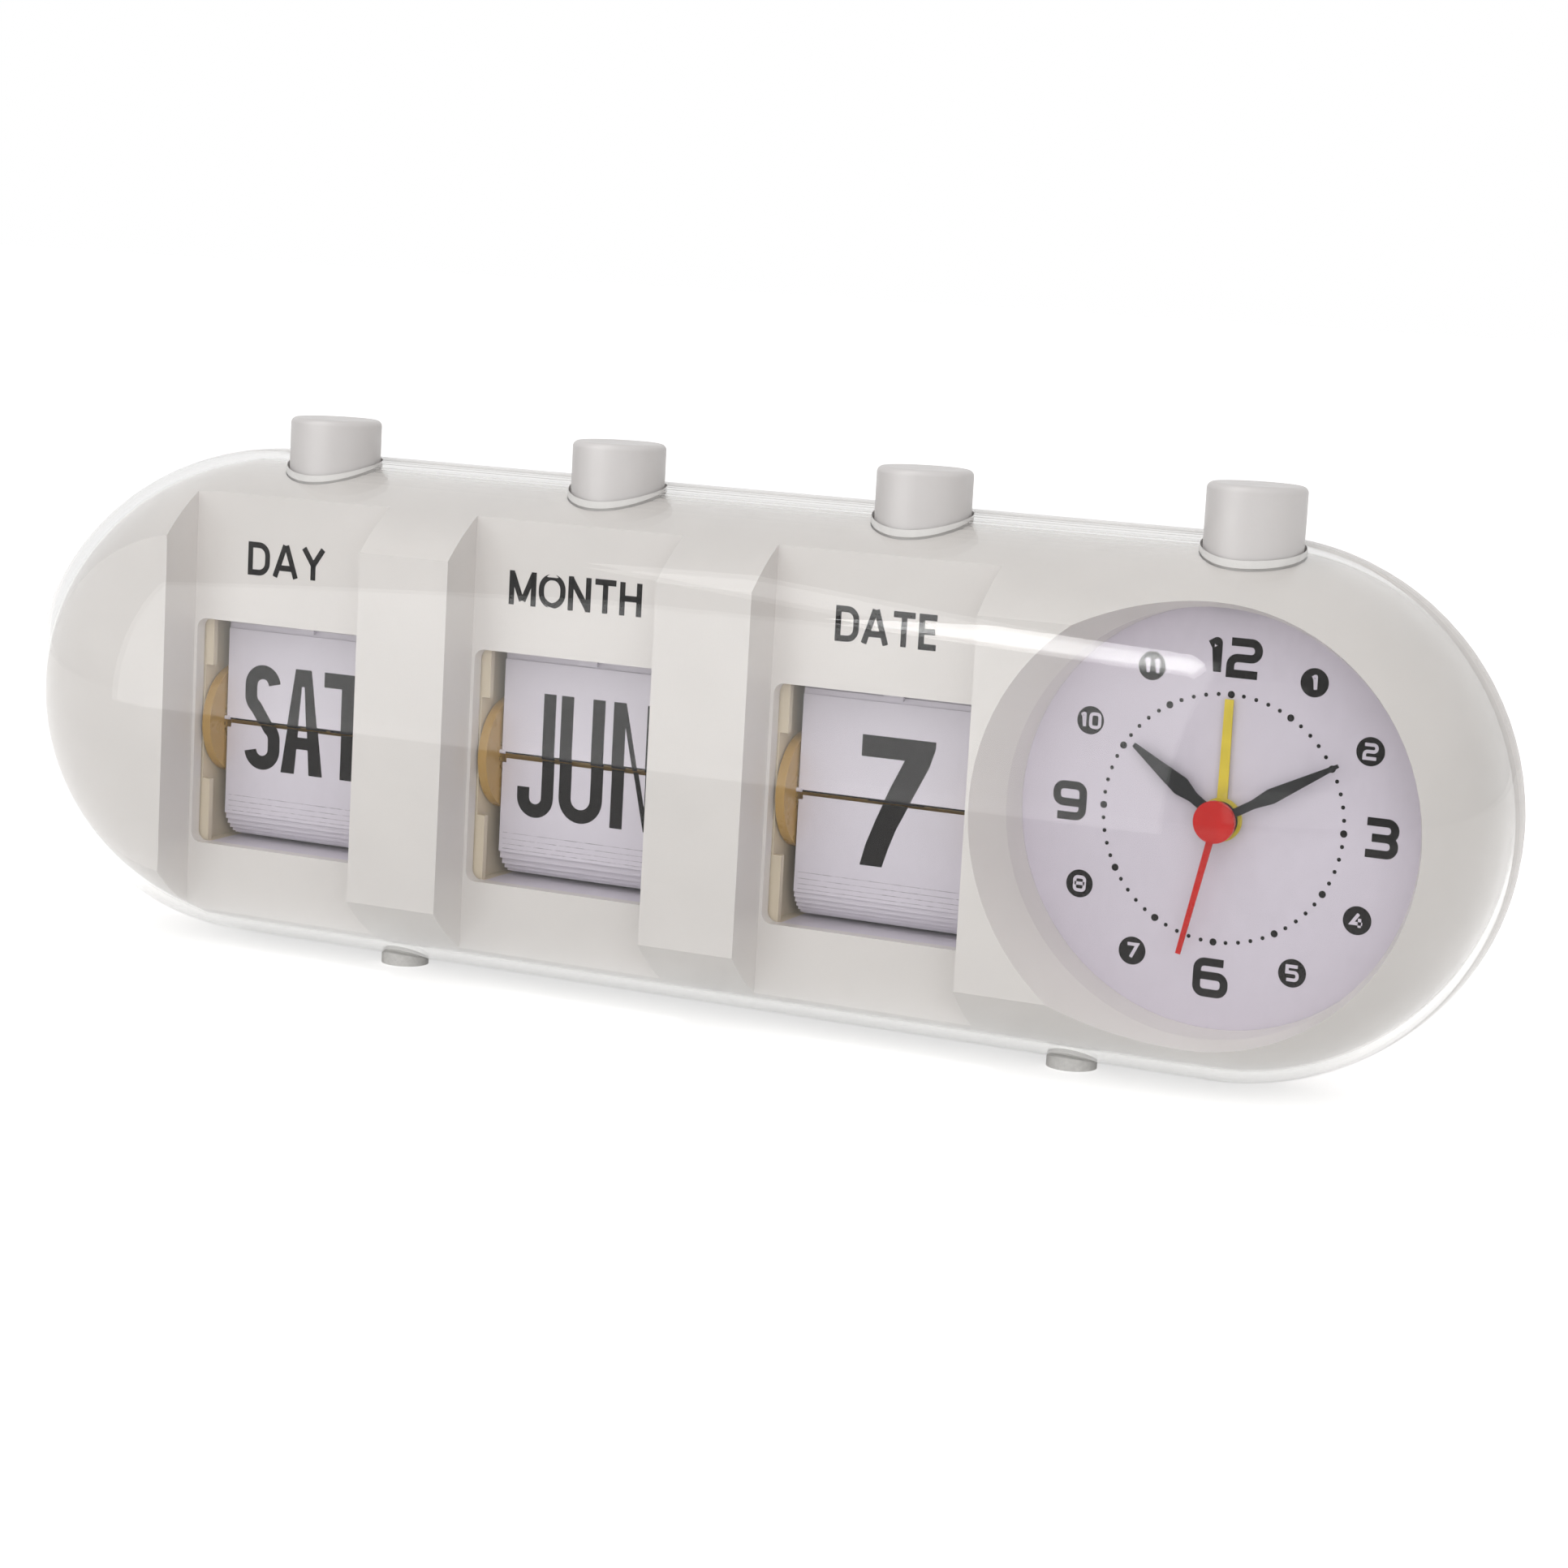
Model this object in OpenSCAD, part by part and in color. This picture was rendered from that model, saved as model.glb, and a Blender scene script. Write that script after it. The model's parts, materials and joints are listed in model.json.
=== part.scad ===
// Desk flip calendar with an alarm clock in one capsule case.
// Depth is measured forward from the capsule axis: +depth points at the viewer, which is -Y.

/* [Case] */
// Radius of the capsule case
body_r = 38; // [34:0.5:44]
// Distance from the middle to the centre of each round end
end_x = 79.5; // [76:0.5:92]
// Depth of the rear housing behind the capsule axis
rear_depth = 17.4; // [16.5:0.1:24]
// Rounding of the rear housing's edge
rear_edge_r = 16; // [10:0.5:16]
// Distance from the capsule axis back to the seam between cover and housing
seam_depth = 2; // [1.5:0.1:4]
// Wall of the clear cover
cover_wall = 1.6; // [1.2:0.1:2]
// Wall of the rear housing
housing_wall = 2; // [1.5:0.1:2.5]
// Gap between the clear cover and the fascia
cover_gap = 0.3; // [0.2:0.05:0.6]

/* [Fascia] */
// Wall of the fascia
fascia_wall = 2; // [1.5:0.1:2.4]
// Depth of the fascia's flat front
front_depth = 25.5; // [23:0.5:28]
// Depth of the floor of the three calendar channels
floor_depth = 17.5; // [16.8:0.1:19]
// Width of a calendar channel
channel_w = 33.8; // [33:0.1:36]
// Height of the windows' top edge over the capsule axis
window_top = 12.5; // [11.5:0.1:15]
// Depth of the windows' bottom edge below the capsule axis
window_bottom = 21.9; // [20:0.1:23]
// Radius of the dial opening
dial_opening_r = 29; // [27:0.5:30]
// Widening of the dial opening up to the flat front
dial_funnel = 2.4; // [1:0.1:2.6]

/* [Buttons] */
// Distance between neighbouring buttons
button_pitch = 48.75; // [47.5:0.25:52]
// Radius of a button
button_r = 6.87; // [6:0.01:7.2]
// Forward offset of the buttons from the capsule axis
button_depth = 6.5; // [6:0.1:8]
// Height of the calendar buttons over the capsule axis
button_top = 43.85; // [42:0.05:46]
// Height of the snooze button over the capsule axis
snooze_top = 45.4; // [43:0.1:48]
// Travel of a calendar button
press_travel = 1.8; // [1.6:0.05:1.85]
// Gap round each button in the cover and the fascia
button_gap = 0.35; // [0.2:0.05:0.6]

/* [Calendar] */
// Places on the drum of the day module, four weeks
day_places = 28; // [21:7:35]
// Places on the drum of the month module, two years
month_places = 24; // [24:12:36]
// Places on the drum of the date module
date_places = 31; // [31]
// Depth of the front leaves
leaf_depth = 12; // [11.5:0.1:12.5]
// Height of the split line below the capsule axis
split_drop = 3.6; // [2.6:0.1:4.6]
// Radius of the circle of leaf pins
pin_circle_r = 4.2; // [4:0.1:4.6]
// Length of a leaf from its pin to its free edge
leaf_len = 13.9; // [12.5:0.1:14.2]
// Width of a leaf
leaf_w = 28.4; // [27:0.1:28.6]
// Thickness of a leaf
leaf_t = 0.15; // [0.1:0.01:0.18]
// Radius of a leaf's pin
pin_r = 0.3; // [0.22:0.01:0.32]
// Radius of the drum's flanges
flange_r = 8.4; // [7:0.1:8.8]
// Thickness of the drum's flange at the left, which shows in the window
flange_t = 1.4; // [1:0.1:1.5]
// Thickness of the drum's flange at the right, beside the ratchet
ratchet_flange_t = 0.9; // [0.6:0.1:1]
// Radius of the drum's hub
hub_r = 2.6; // [2.2:0.1:3]
// Radius of a calendar axle
axle_r = 1.5; // [1:0.1:1.7]
// Thickness of a module's side plates
plate_t = 1; // [0.8:0.1:1.1]
// Thickness of a ratchet wheel
ratchet_t = 0.8; // [0.6:0.05:0.9]

/* [Clock] */
// Depth of the dial's face
dial_depth = 11.4; // [11:0.1:12.5]
// Thickness of the dial
dial_t = 0.6; // [0.4:0.1:0.8]
// Length of the hour hand
hour_len = 15.6; // [12:0.1:17]
// Length of the minute hand
minute_len = 18.6; // [16:0.1:21]
// Length of the second hand
second_len = 19.1; // [16:0.1:22]
// Length of the alarm hand
alarm_len = 16.4; // [12:0.1:18]
// Radius of the second hand's cap
second_cap_r = 2.9; // [2:0.1:3.4]
// Width of the movement
movement_w = 46; // [42:0.5:48]

/* [Battery] */
// Radius of the cell
cell_r = 7.25; // [7:0.05:7.25]
// Length of the cell
cell_len = 50.5; // [48:0.1:50.5]

/* [Base] */
// Clearance of the case over the floor
ground_gap = 0.5; // [0.3:0.1:1.5]
// Radius of a foot
foot_r = 3.6; // [2.5:0.1:4.5]

/* [Hidden] */
$fn = 96;
axis_z = body_r + ground_gap;
fit_gap = 0.05;
run_gap = 0.3;
cut = 1;
knob_h = 3;

// Shells, from the outside in
cover_inner_r = body_r - cover_wall;
fascia_r = cover_inner_r - cover_gap;
fascia_inner_r = fascia_r - fascia_wall;
rear_inner_depth = rear_depth - housing_wall;
fascia_back = seam_depth - run_gap;
body_y = (body_r - rear_depth - run_gap - knob_h) / 2;

// Fascia details
tray_wall = 1.6;
window_lip = 0.5;
window_corner_r = 1.5;
skirt_wall = 1.6;
skirt_r = dial_opening_r + skirt_wall;
dial_r = skirt_r - 0.2;

// Calendar module, measured from its own button's axis
split_z = -split_drop;
drum_y = -leaf_depth + pin_circle_r;
drum_depth = leaf_depth - pin_circle_r;
pin_hole_r = pin_r + fit_gap;
leaf_root = 0.15;
shoulder_w = 0.65;
shoulder_h = 0.5;
pin_joint = 0.5;
pin_out = 0.8;
leaf_half = leaf_w / 2;
flange_in = leaf_half + run_gap;
left_flange_out = flange_in + flange_t;
right_flange_out = flange_in + ratchet_flange_t;
ratchet_out = right_flange_out + ratchet_t;
left_plate_in = left_flange_out + run_gap;
left_plate_out = left_plate_in + plate_t;
right_plate_in = ratchet_out + 0.4;
right_plate_out = right_plate_in + plate_t;
plate_front = floor_depth - fascia_wall - run_gap;
plate_back = -8;
leaf_reach = pin_circle_r + leaf_len;
shelf_t = 1.2;
plate_top = split_z + leaf_reach + run_gap + shelf_t;
plate_bottom = split_z - leaf_reach - run_gap - shelf_t;
lip_t = 1;
lip_in = leaf_half + 0.7;
tab_w = 3;
tab_t = 0.6;

// Ratchet and the button's pushing rod
tooth_h = 0.9;
tooth_bite = 0.4;
finger_gap = 0.15;
finger_t = 0.5;
hook_h = 0.8;
rod_t = 1.2;
rod_front = plate_front - 0.1;
rod_left = right_flange_out + finger_gap;
jog_z = 8;

// Places along the case; the date module keeps clear of the dial
clock_pitch = max(button_pitch, dial_r + run_gap + right_plate_out);
snooze_x = end_x;
date_x = snooze_x - clock_pitch;
month_x = date_x - button_pitch;
day_x = month_x - button_pitch;
module_xs = [day_x, month_x, date_x];
button_hole_r = button_r + button_gap;

// Button and its spring
press_flange_r = 8;
press_flange_t = 1.2;
press_flange_top = sqrt(pow(fascia_inner_r, 2) - pow(button_depth + press_flange_r, 2)) - run_gap;
press_bottom = press_flange_top - press_flange_t;
button_wall = 1.2;
button_edge_r = 0.9;
arm_half_w = 2.5;
spring_r = 3.8;
spring_wire = 0.8;
post_r = spring_r - spring_wire - 0.2;
post_h = 4;

// Clock
cell_y = 5;
cell_z = -17.5;
alarm_pipe_r = 2.2;
hour_pipe_r = 1.6;
minute_pipe_r = 1.05;
second_arbor_r = 0.5;
hand_t = 0.25;
hand_pitch = 0.75;
hub_h = 0.35;
cap_t = 0.8;
alarm_hand_depth = dial_depth + 0.5;
hour_hand_depth = alarm_hand_depth + hand_pitch;
minute_hand_depth = hour_hand_depth + hand_pitch;
second_hand_depth = minute_hand_depth + hand_pitch;
hour_angle = -55;
minute_angle = 60;
second_angle = 192;
alarm_angle = 0;
case_front = dial_depth - dial_t - 0.1;
case_wall = 1.2;
case_corner_r = 29;
case_top = 22.5;
case_low = -22;
case_back = -9;
case_split = cell_r - cell_y + 0.35;
case_step = cell_z + cell_r + 0.85;
wheel_t = 0.6;
wheel_pitch = 1.2;
tooth_depth = 0.6;
alarm_wheel_r = 10;
hour_wheel_r = 9;
minute_wheel_r = 8;
second_wheel_r = 7;
knob_r = 5.5;
alarm_knob_r = 4;
alarm_knob_x = -14;
alarm_knob_z = 10;
knob_shaft_r = 1.5;
knob_shaft_end = -1;
switch_x = 12;
switch_z = 11;
switch_travel = 4;
switch_w = 3;
switch_h = 2;
buzzer_x = 12.5;
buzzer_z = -1;
buzzer_r = 7;
buzzer_t = 2.2;
sound_hole_r = 0.8;
sound_hole_ring = 3;
board_left = -9;
board_right = 21;
board_low = 5;
board_high = 16;
board_y = 2;
board_t = 1;
coil_left = -17;
coil_len = 13;
coil_r = 2.6;
coil_y = 3;
core_r = 1;
core_over = 2;
pole_right = 10;
pole_h = 2.6;
pole_t = 0.8;
rotor_t = 2.4;
rotor_pin_r = 0.4;
rotor_x = 6;
rotor_z = -5;
rotor_r = 1.6;

// Battery bay
bay_wall = 1;
coil_reach = 1.7;
bay_left = date_x + right_plate_out + 0.35;
cell_left = bay_left + bay_wall + coil_reach;
cell_right = cell_left + cell_len;
contact_t = 0.3;
contact_r = 5;
coil_foot_r = 4;
coil_tip_r = 2.5;
coil_wire = 0.6;
cell_nub_r = 2.7;
cell_nub_h = 1;
door_gap = 0.25;
door_left = bay_left + bay_wall + 0.5;
door_right = cell_right + contact_t - 0.3;
door_top = cell_z + cell_r + 1;
door_bottom = -33;
door_inner = 8;

// Feet and screws
front_foot_y = -6.5;
rear_foot_y = 9;
foot_left_x = -51;
foot_right_x = 58.5;
screw_r = 1.4;
screw_head_r = 2.6;
screw_head_t = 1.4;
screw_sink = 3;
screw_bite = 6;
slot_l = 3.2;
slot_w = 0.6;
slot_depth = 0.7;
boss_r = 4;
end_screw_x = 17.5;
end_screw_z = 14;
mid_screw_z = 22;
clock_screw_x = -27;
clock_screw_z = 26.5;
mid_screw_x = (month_x + date_x) / 2;
screw_places = [
    [-end_x - end_screw_x, end_screw_z],
    [-end_x - end_screw_x, -end_screw_z],
    [mid_screw_x, mid_screw_z],
    [mid_screw_x, -mid_screw_z],
    [end_x + clock_screw_x, clock_screw_z]
];

// Lifts a piece drawn about the capsule axis to its height over the floor.
module lifted() {
    translate([0, body_y, axis_z]) children();
}

// Turns a flat shape of (radius, depth) round the axis of one end: side is 1 for right, -1 for left.
module end_turn(side) {
    translate([side * end_x, 0, 0])
        rotate([90, 0, 0])
            rotate([0, 0, -90 * side])
                rotate_extrude(angle = 180)
                    children();
}

// Draws a flat shape of (height, depth) along the case.
module along_case(length) {
    rotate([90, 0, 0])
        rotate([90, 0, 90])
            linear_extrude(height = length, center = true)
                children();
}

// Draws a flat shape of (y, z) as a plate from x = from_x to x = to_x.
module plate_x(from_x, to_x) {
    translate([from_x, 0, 0])
        rotate([90, 0, 90])
            linear_extrude(height = to_x - from_x)
                children();
}

// Makes a pill-shaped solid or shell from the half section given as a child.
module pill() {
    end_turn(1) children();
    end_turn(-1) children();
    along_case(2 * end_x) {
        children();
        mirror([1, 0]) children();
    }
}

// Half section of the round front, from the given distance behind the axis.
module front_section(r, back) {
    intersection() {
        circle(r);
        square([r, r]);
    }
    translate([0, -back]) square([r, back]);
}

// Half section of the round front, cut flat at a depth.
module flat_section(r, back, flat) {
    intersection() {
        front_section(r, back);
        translate([0, -back - cut]) square([r + cut, back + cut + flat]);
    }
}

// Half section of the rear, rounded to its flat back.
module rear_section(r, depth, edge, front = undef) {
    intersection() {
        union() {
            translate([0, -depth]) square([r - edge, depth]);
            translate([r - edge, edge - depth]) circle(edge);
        }
        translate([0, -depth]) square([r + cut, depth - (front == undef ? seam_depth : front)]);
    }
}

// Cylinder along the depth, from depth a to depth b, at a place on the front.
module depth_cylinder(x, z, r, a, b) {
    translate([x, -a, z]) rotate([90, 0, 0]) cylinder(r = r, h = b - a);
}

// Box from low corner to high corner.
module block(low, high) {
    translate(low) cube(high - low);
}

// Holes for the four buttons.
module button_holes() {
    for (x = [day_x, month_x, date_x, snooze_x])
        translate([x, -button_depth, 0]) cylinder(r = button_hole_r, h = body_r + cut);
}

module clear_cover() {
    color([0.92, 0.94, 0.95, 0.35]) lifted() difference() {
        pill() difference() {
            front_section(body_r, seam_depth);
            front_section(cover_inner_r, seam_depth + cut);
        }
        button_holes();
    }
}

// Rear shell of the case, before its openings are cut.
module rear_shell() {
    pill() difference() {
        rear_section(body_r, rear_depth, rear_edge_r);
        rear_cavity_section();
    }
}

// Half section of the space in the rear housing.
module rear_cavity_section() {
    intersection() {
        union() {
            translate([0, -rear_inner_depth]) square([body_r - rear_edge_r, rear_depth]);
            translate([body_r - rear_edge_r, rear_edge_r - rear_depth])
                circle(rear_edge_r - housing_wall);
            translate([0, rear_edge_r - rear_depth])
                square([body_r - housing_wall, rear_depth]);
        }
        translate([0, -rear_inner_depth]) square([body_r, rear_depth]);
    }
}

// Space that the battery door closes.
module door_block(gap) {
    block([door_left + gap, door_inner, door_bottom + gap],
          [door_right - gap, rear_depth + cut, door_top - gap]);
}

module rear_housing() {
    color("whitesmoke") lifted() difference() {
        union() {
            rear_shell();
            for (p = screw_places)
                depth_cylinder(p[0], p[1], boss_r, -rear_inner_depth - 0.5, 0);
            for (x = [bay_left, cell_right + contact_t])
                intersection() {
                    block([x, cell_y - cell_r - 0.2, cell_z - cell_r],
                          [x + bay_wall, rear_inner_depth + 0.5, cell_z + cell_r]);
                    pill() rear_section(body_r - 0.5, rear_depth - 0.5, rear_edge_r - 0.5, -cell_r);
                }
        }
        for (p = screw_places) {
            depth_cylinder(p[0], p[1], screw_r + 0.2, -rear_depth - cut, 1);
            depth_cylinder(p[0], p[1], screw_head_r + 0.15, -rear_depth - cut, screw_sink - rear_depth);
        }
        door_block(0);
        contact_disc(contact_r + fit_gap);
        depth_cylinder(end_x, 0, knob_shaft_r + run_gap, -rear_depth - cut, 0);
        depth_cylinder(end_x + alarm_knob_x, alarm_knob_z, knob_shaft_r + run_gap, -rear_depth - cut, 0);
        block([end_x + switch_x - run_gap, 0, switch_z - switch_h / 2 - run_gap],
              [end_x + switch_x + switch_w + switch_travel + run_gap, rear_depth + cut,
               switch_z + switch_h / 2 + run_gap]);
        for (a = [0 : 60 : 300])
            depth_cylinder(end_x + buzzer_x + sound_hole_ring * cos(a),
                           buzzer_z + sound_hole_ring * sin(a), sound_hole_r, -rear_depth - cut, 0);
    }
}

module battery_door() {
    color("whitesmoke") lifted() intersection() {
        rear_shell();
        door_block(door_gap);
    }
}

// Solid inside the fascia's outer face, less a margin.
module fascia_solid(margin) {
    pill() flat_section(fascia_r - margin, fascia_back, front_depth - margin);
}

// Rectangle with round corners, centred on x, from low_z to high_z.
module round_rect(half_w, low_z, high_z, r) {
    translate([-half_w + r, low_z]) square([2 * half_w - 2 * r, high_z - low_z]);
    translate([-half_w, low_z + r]) square([2 * half_w, high_z - low_z - 2 * r]);
    for (x = [-1, 1], z = [low_z + r, high_z - r])
        translate([x * (half_w - r), z]) circle(r);
}

module fascia() {
    color("whitesmoke") lifted() difference() {
        intersection() {
            fascia_solid(0);
            union() {
                difference() {
                    fascia_solid(0);
                    pill() flat_section(fascia_inner_r, fascia_back + cut, front_depth - fascia_wall);
                }
                for (x = module_xs)
                    block([x - channel_w / 2 - tray_wall, -body_r, -body_r],
                          [x + channel_w / 2 + tray_wall, fascia_wall - floor_depth, body_r]);
                depth_cylinder(end_x, 0, skirt_r, dial_depth + fit_gap, floor_depth);
                translate([end_x, -floor_depth, 0]) rotate([90, 0, 0])
                    cylinder(r1 = skirt_r, r2 = skirt_r + dial_funnel, h = front_depth - floor_depth);
                intersection() {
                    fascia_solid(0.5);
                    for (p = screw_places)
                        depth_cylinder(p[0], p[1], boss_r, 0, front_depth);
                }
            }
        }
        for (x = module_xs) {
            block([x - channel_w / 2, -body_r, -body_r], [x + channel_w / 2, -floor_depth, body_r]);
            translate([x, 0, 0]) rotate([90, 0, 0])
                linear_extrude(height = body_r)
                    round_rect(channel_w / 2 - window_lip, -window_bottom, window_top, window_corner_r);
        }
        depth_cylinder(end_x, 0, dial_opening_r, 0, floor_depth);
        translate([end_x, -floor_depth, 0]) rotate([90, 0, 0])
            cylinder(r1 = dial_opening_r, r2 = dial_opening_r + dial_funnel, h = front_depth - floor_depth);
        for (p = screw_places)
            depth_cylinder(p[0], p[1], screw_r + 0.02, -cut, screw_bite + 0.5);
        button_holes();
    }
}

module case_screws() {
    color("silver") lifted()
        for (p = screw_places) difference() {
            union() {
                depth_cylinder(p[0], p[1], screw_head_r, screw_sink - rear_depth - screw_head_t,
                               screw_sink - rear_depth);
                depth_cylinder(p[0], p[1], screw_r, screw_sink - rear_depth, screw_bite);
            }
            for (a = [0, 90])
                translate([p[0], rear_depth - screw_sink + screw_head_t, p[1]]) rotate([0, a, 0])
                    cube([slot_l, 2 * slot_depth, slot_w], center = true);
        }
}

// One foot: a pad that reaches up to the case.
module foot(x, y) {
    difference() {
        translate([x, y, -axis_z]) cylinder(r = foot_r, h = 10);
        pill() {
            front_section(body_r, seam_depth + cut);
            rear_section(body_r, rear_depth, rear_edge_r, -1);
        }
    }
}

module feet() {
    color("white") lifted()
        for (x = [foot_left_x, foot_right_x], y = [front_foot_y, rear_foot_y])
            foot(x, y);
}

module battery_cell() {
    color("dimgray") lifted() translate([cell_left, cell_y, cell_z]) rotate([0, 90, 0]) {
        cylinder(r = cell_r, h = cell_len - cell_nub_h);
        cylinder(r = cell_nub_r, h = cell_len);
    }
}

module contact_spring() {
    color("silver") lifted() translate([bay_left + bay_wall, cell_y, cell_z]) rotate([0, 90, 0])
        difference() {
            union() {
                cylinder(r = contact_r, h = contact_t);
                cylinder(r1 = coil_foot_r, r2 = coil_tip_r, h = coil_reach);
            }
            translate([0, 0, contact_t])
                cylinder(r1 = coil_foot_r - coil_wire, r2 = coil_tip_r - coil_wire, h = coil_reach);
        }
}

// Disc at the right end of the cell.
module contact_disc(r) {
    translate([cell_right, cell_y, cell_z]) rotate([0, 90, 0]) cylinder(r = r, h = contact_t);
}

module contact_plate() {
    color("silver") lifted() contact_disc(contact_r);
}

module dial() {
    color("lavender") lifted() difference() {
        intersection() {
            depth_cylinder(end_x, 0, dial_r, dial_depth - dial_t, dial_depth);
            pill() flat_section(fascia_inner_r - run_gap, fascia_back, front_depth);
        }
        depth_cylinder(end_x, 0, alarm_pipe_r + run_gap, 0, body_r);
    }
}

// Outline of the movement, seen from the front and set in by a margin.
module movement_outline(low, margin) {
    intersection() {
        circle(case_corner_r - margin);
        translate([-movement_w / 2 + margin, low + margin])
            square([movement_w - 2 * margin, case_top - low - 2 * margin]);
    }
}

// Movement outline as a solid from depth a to depth b.
module movement_block(low, margin, a, b) {
    translate([end_x, -a, 0]) rotate([90, 0, 0])
        linear_extrude(height = b - a) movement_outline(low, margin);
}

module movement_front() {
    color("white") lifted() difference() {
        movement_block(case_low, 0, case_split, case_front);
        movement_block(case_low, case_wall, case_split + case_wall, case_front - case_wall);
        movement_block(case_step, case_wall, case_split - cut, case_split + 2 * case_wall);
        depth_cylinder(end_x, 0, alarm_pipe_r + fit_gap, case_split, body_r);
    }
}

module movement_back() {
    color("white") lifted() difference() {
        movement_block(case_step, 0, case_back, case_split);
        movement_block(case_step, case_wall, case_back + case_wall, case_split + cut);
        depth_cylinder(end_x, 0, knob_shaft_r + fit_gap, case_back - cut, 0);
        depth_cylinder(end_x + alarm_knob_x, alarm_knob_z, knob_shaft_r + fit_gap, case_back - cut, 0);
        block([end_x + switch_x - run_gap, 0, switch_z - switch_h / 2 - run_gap],
              [end_x + switch_x + switch_w + switch_travel + run_gap, -case_back + cut,
               switch_z + switch_h / 2 + run_gap]);
    }
}

module circuit_board() {
    color("darkgreen") lifted() difference() {
        block([end_x + board_left, board_y, board_low],
              [end_x + board_right, board_y + board_t, board_high]);
        block([end_x + switch_x - run_gap, 0, switch_z - switch_h / 2 - run_gap],
              [end_x + switch_x + switch_w + switch_travel + run_gap, 5, switch_z + switch_h / 2 + run_gap]);
    }
}

module motor_coil() {
    color("peru") lifted() translate([end_x + coil_left, coil_y, rotor_z]) rotate([0, 90, 0])
        difference() {
            cylinder(r = coil_r, h = coil_len);
            translate([0, 0, -cut]) cylinder(r = core_r + 0.1, h = coil_len + 2 * cut);
        }
}

module motor_stator() {
    color("silver") lifted() {
        translate([end_x + coil_left - core_over, coil_y, rotor_z]) rotate([0, 90, 0])
            cylinder(r = core_r, h = coil_len + 2 * core_over);
        difference() {
            block([end_x + coil_left + coil_len + core_over - 1, coil_y - pole_t / 2, rotor_z - pole_h],
                  [end_x + pole_right, coil_y + pole_t / 2, rotor_z + pole_h]);
            depth_cylinder(end_x + rotor_x, rotor_z, rotor_r + run_gap, -5, 0);
        }
    }
}

module motor_rotor() {
    color("dimgray") lifted() {
        depth_cylinder(end_x + rotor_x, rotor_z, rotor_r, -coil_y - rotor_t / 2, -coil_y + rotor_t / 2);
        depth_cylinder(end_x + rotor_x, rotor_z, rotor_pin_r, case_back + case_wall + 0.2, case_split + 1);
    }
}

module buzzer() {
    color("gold") lifted() depth_cylinder(end_x + buzzer_x, buzzer_z, buzzer_r, case_back + case_wall,
                                                case_back + case_wall + buzzer_t);
}

// Toothed wheel of the clock train on a pipe; stage 0 is the wheel next to the dial.
module clock_wheel(r, stage, pipe_r, bore_r, pipe_depth) {
    back = case_front - case_wall - run_gap - stage * wheel_pitch - wheel_t;
    teeth = round(r * 4);
    step = 360 / teeth;
    rim = [for (k = [0 : teeth - 1], p = [[r - tooth_depth, 0], [r, 0.2], [r, 0.5], [r - tooth_depth, 0.7]])
        [p[0] * cos((k + p[1]) * step), p[0] * sin((k + p[1]) * step)]];
    difference() {
        union() {
            translate([end_x, -back, 0]) rotate([90, 0, 0])
                linear_extrude(height = wheel_t) polygon(rim);
            depth_cylinder(end_x, 0, pipe_r, back, pipe_depth);
        }
        if (bore_r > 0)
            depth_cylinder(end_x, 0, bore_r, -body_r, body_r);
    }
}

module alarm_wheel() {
    color("white") lifted()
        clock_wheel(alarm_wheel_r, 0, alarm_pipe_r, hour_pipe_r + fit_gap, alarm_hand_depth + hub_h);
}

module hour_wheel() {
    color("white") lifted()
        clock_wheel(hour_wheel_r, 1, hour_pipe_r, minute_pipe_r + fit_gap, hour_hand_depth + hub_h);
}

module minute_wheel() {
    color("white") lifted()
        clock_wheel(minute_wheel_r, 2, minute_pipe_r, second_arbor_r + fit_gap, minute_hand_depth + hub_h);
}

module second_wheel() {
    color("white") lifted()
        clock_wheel(second_wheel_r, 3, second_arbor_r, 0, second_hand_depth + hand_t - fit_gap);
}

// One hand: a flat outline pointing up, turned to its angle, on a hub with a bore.
module hand(depth, angle, hub_radius, bore_r) {
    translate([end_x, -depth, 0]) rotate([0, angle, 0]) rotate([90, 0, 0]) difference() {
        union() {
            linear_extrude(height = hand_t) children();
            cylinder(r = hub_radius, h = hub_h);
        }
        translate([0, 0, -cut]) cylinder(r = bore_r, h = hand_t + 3 * cut);
    }
}

// Outline of a lozenge-shaped hand.
module lozenge(length, stem, half_w, tip_half) {
    polygon([[-stem, 0], [-stem, 0.3 * length], [-half_w, 0.45 * length], [-tip_half, length],
             [tip_half, length], [half_w, 0.45 * length], [stem, 0.3 * length], [stem, 0]]);
}

module alarm_hand() {
    color("gold") lifted() hand(alarm_hand_depth, alarm_angle, alarm_pipe_r + 0.8, alarm_pipe_r + 0.02)
        polygon([[-0.75, 0], [-0.6, alarm_len], [0.6, alarm_len], [0.75, 0]]);
}

module hour_hand() {
    color("black") lifted() hand(hour_hand_depth, hour_angle, hour_pipe_r + 1, hour_pipe_r + 0.02)
        lozenge(hour_len, 0.75, 1.35, 0.3);
}

module minute_hand() {
    color("black") lifted() hand(minute_hand_depth, minute_angle, minute_pipe_r + 1, minute_pipe_r + 0.02)
        lozenge(minute_len, 0.6, 1.05, 0.25);
}

module second_hand() {
    color("red") lifted() {
        hand(second_hand_depth, second_angle, second_cap_r - 0.5, second_arbor_r + 0.02)
            polygon([[-0.5, 0], [-0.35, second_len], [0.35, second_len], [0.5, 0]]);
        depth_cylinder(end_x, 0, second_cap_r, second_hand_depth + hand_t, second_hand_depth + hand_t + cap_t);
    }
}

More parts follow.
